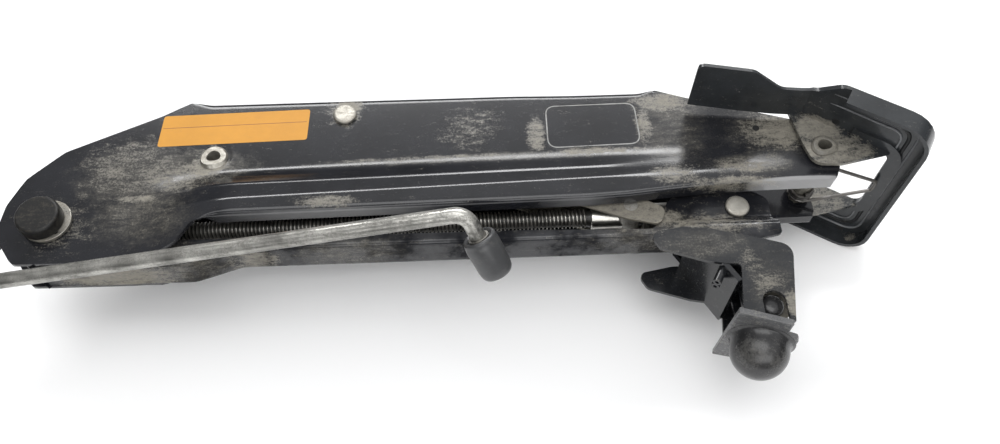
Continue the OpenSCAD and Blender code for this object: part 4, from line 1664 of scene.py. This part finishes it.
@dataclass(frozen=True)
class Softbox:
    """A large soft light.

    Attributes:
        name: Name of the light.
        place: Where it hangs, in metres.
        size: Its two side lengths, in metres.
        power: Its strength, in watts.
    """

    name: str
    place: Point
    size: Flat
    power: float


class Studio:
    """Floor, backdrop, lights and camera."""

    lights: tuple[Softbox, ...] = (
        Softbox("overhead", (0.05, -0.25, 1.45), (1.5, 0.9), 11.0),
        Softbox("strip", (0.15, 1.15, 1.05), (1.8, 0.24), 20.0),
        Softbox("front", (0.25, -1.25, 0.75), (1.6, 0.7), 8.0),
    )
    target: Point = (0.17, 0.0, 0.0)
    floor_half = 1.3
    floor_gap = 0.0004
    eye: Point = (0.1695, -0.3469, 0.4981)
    tilt, azimuth, roll = 58.86, 3.29, 0.867

    def __init__(self, floor_z: float) -> None:
        """Keeps the height of the floor.

        Args:
            floor_z: Height of the object's lowest point, in metres.
        """
        self.floor_z = floor_z

    def build(self) -> None:
        """Sets the scene."""
        self.world()
        self.floor()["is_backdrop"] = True
        for light in self.lights:
            self.hang(light)
        self.camera()
        bpy.context.scene.view_settings.view_transform = "Standard"

    def floor(self) -> Thing:
        """Makes the pale floor.

        Returns:
            The floor.
        """
        mesh = bpy.data.meshes.new("studio_floor")
        s, z = self.floor_half, self.floor_z - self.floor_gap
        mesh.from_pydata([(-s, -s, z), (s, -s, z), (s, s, z), (-s, s, z)], [], [(0, 1, 2, 3)])
        piece = bpy.data.objects.new("studio_floor", mesh)
        bpy.context.scene.collection.objects.link(piece)
        material = bpy.data.materials.new("studio_floor")
        material.use_nodes = True
        shader = material.node_tree.nodes["Principled BSDF"]
        shader.inputs["Base Color"].default_value = (0.93, 0.93, 0.93, 1.0)
        shader.inputs["Roughness"].default_value = 0.9
        shader.inputs["Specular IOR Level"].default_value = 0.1
        mesh.materials.append(material)
        return piece

    def world(self) -> None:
        """Lights everything from a pale surround that darkens towards the horizon."""
        world = bpy.data.worlds.new("studio")
        world.use_nodes = True
        bpy.context.scene.world = world
        wires = Wires(world.node_tree)
        wires.tree.nodes.clear()
        coords = wires.add("ShaderNodeTexCoord").outputs["Generated"]
        axes = wires.add("ShaderNodeSeparateXYZ", [coords]).outputs
        rise = wires.span(axes["Z"], 0.22, 0.72, 0.10, 0.95)
        fade = wires.span(axes["X"], -0.45, -0.02, 0.42, 1.0)
        sky = wires.add("ShaderNodeBackground", {
            "Color": (0.985, 0.99, 1.0, 1.0), "Strength": wires.math("MULTIPLY", rise, fade),
        })
        white = wires.add("ShaderNodeBackground", {"Color": (1.0, 1.0, 1.0, 1.0), "Strength": 1.0})
        seen = wires.add("ShaderNodeLightPath").outputs["Is Camera Ray"]
        mix = wires.add("ShaderNodeMixShader", [seen, sky.outputs[0], white.outputs[0]])
        wires.add("ShaderNodeOutputWorld", {"Surface": mix.outputs[0]})

    def hang(self, light: Softbox) -> None:
        """Hangs a light so that it faces the object.

        Args:
            light: The light to hang.
        """
        lamp = bpy.data.lights.new(light.name, "AREA")
        lamp.shape = "RECTANGLE"
        lamp.size, lamp.size_y = light.size
        lamp.energy = light.power
        thing = bpy.data.objects.new(light.name, lamp)
        thing.location = light.place
        look = Vector(self.target) - Vector(light.place)
        thing.rotation_euler = look.to_track_quat("-Z", "Y").to_euler()
        bpy.context.scene.collection.objects.link(thing)

    def camera(self) -> None:
        """Places the camera from its tilt, azimuth and roll in degrees."""
        down, turn, roll = (math.radians(a) for a in (self.tilt, self.azimuth, self.roll))
        ahead = Vector((
            math.sin(turn) * math.cos(down), math.cos(turn) * math.cos(down), -math.sin(down)
        ))
        right = Vector((math.cos(turn), -math.sin(turn), 0.0))
        up = right.cross(ahead)
        side = right * math.cos(roll) + up * math.sin(roll)
        top = up * math.cos(roll) - right * math.sin(roll)
        lens = bpy.data.cameras.new("camera")
        lens.lens = 31.968
        lens.sensor_width = 36.0
        lens.clip_start, lens.clip_end = 0.05, 20.0
        thing = bpy.data.objects.new("camera", lens)
        rows = [(side[i], top[i], -ahead[i], self.eye[i]) for i in range(3)]
        thing.matrix_world = Matrix((*rows, (0.0, 0.0, 0.0, 1.0)))
        bpy.context.scene.collection.objects.link(thing)
        bpy.context.scene.camera = thing


# ------------------------------------------------------------------ main


def node_bodies(record: dict) -> dict[str, str]:
    """Maps each CAD node to its body's name."""
    bodies = record["behaviour"]["bodies"]
    return {name: body for body, nodes in bodies.items() for name in nodes}


def dress_nodes(assembly: Assembly) -> None:
    """Rounds the edges of the CAD nodes, and paints the ones that stay in view.

    Args:
        assembly: Where the pieces are booked.
    """
    for node, (finish, width) in NODES.items():
        if width:
            piece = refined(node, width)
            if node == "stowage_tube":
                crimp(piece, TUBE_AT, 1.9, 0.3)
            elif node == "foot_rivet":
                crimp(piece, FOOT_AT, 2.2, 0.0)
            assembly.book(piece, node, finish, True)
        elif node not in assembly.replaced:
            for slot in bpy.data.objects[node].material_slots:
                slot.link = "OBJECT"
                slot.material = assembly.paints.get(finish)
            LOG.info("%s keeps its CAD mesh", node)


def main() -> None:
    """Builds the classes in order and sets up the studio."""
    logging.basicConfig(level=logging.INFO)
    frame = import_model()
    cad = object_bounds()
    assembly = Assembly(Paintbox(), node_bodies(frame["record"]))
    column = Column()
    assembly.book(column.build(), "column_channel", "column_paint", True)
    Labels(column).build(assembly)
    assembly.book(Arm().build(), "carrying_arm", "arm_paint", True)
    Spindle().build(assembly)
    thrust_sleeve(assembly)
    FootMarks().build(assembly)
    Crank().build(assembly)
    saddle_bolts(assembly, 18.0)
    dress_nodes(assembly)
    Studio(cad[0][2]).build()
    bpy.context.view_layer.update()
    LOG.info("%d pieces", assembly.count)


if __name__ == "__main__":
    main()
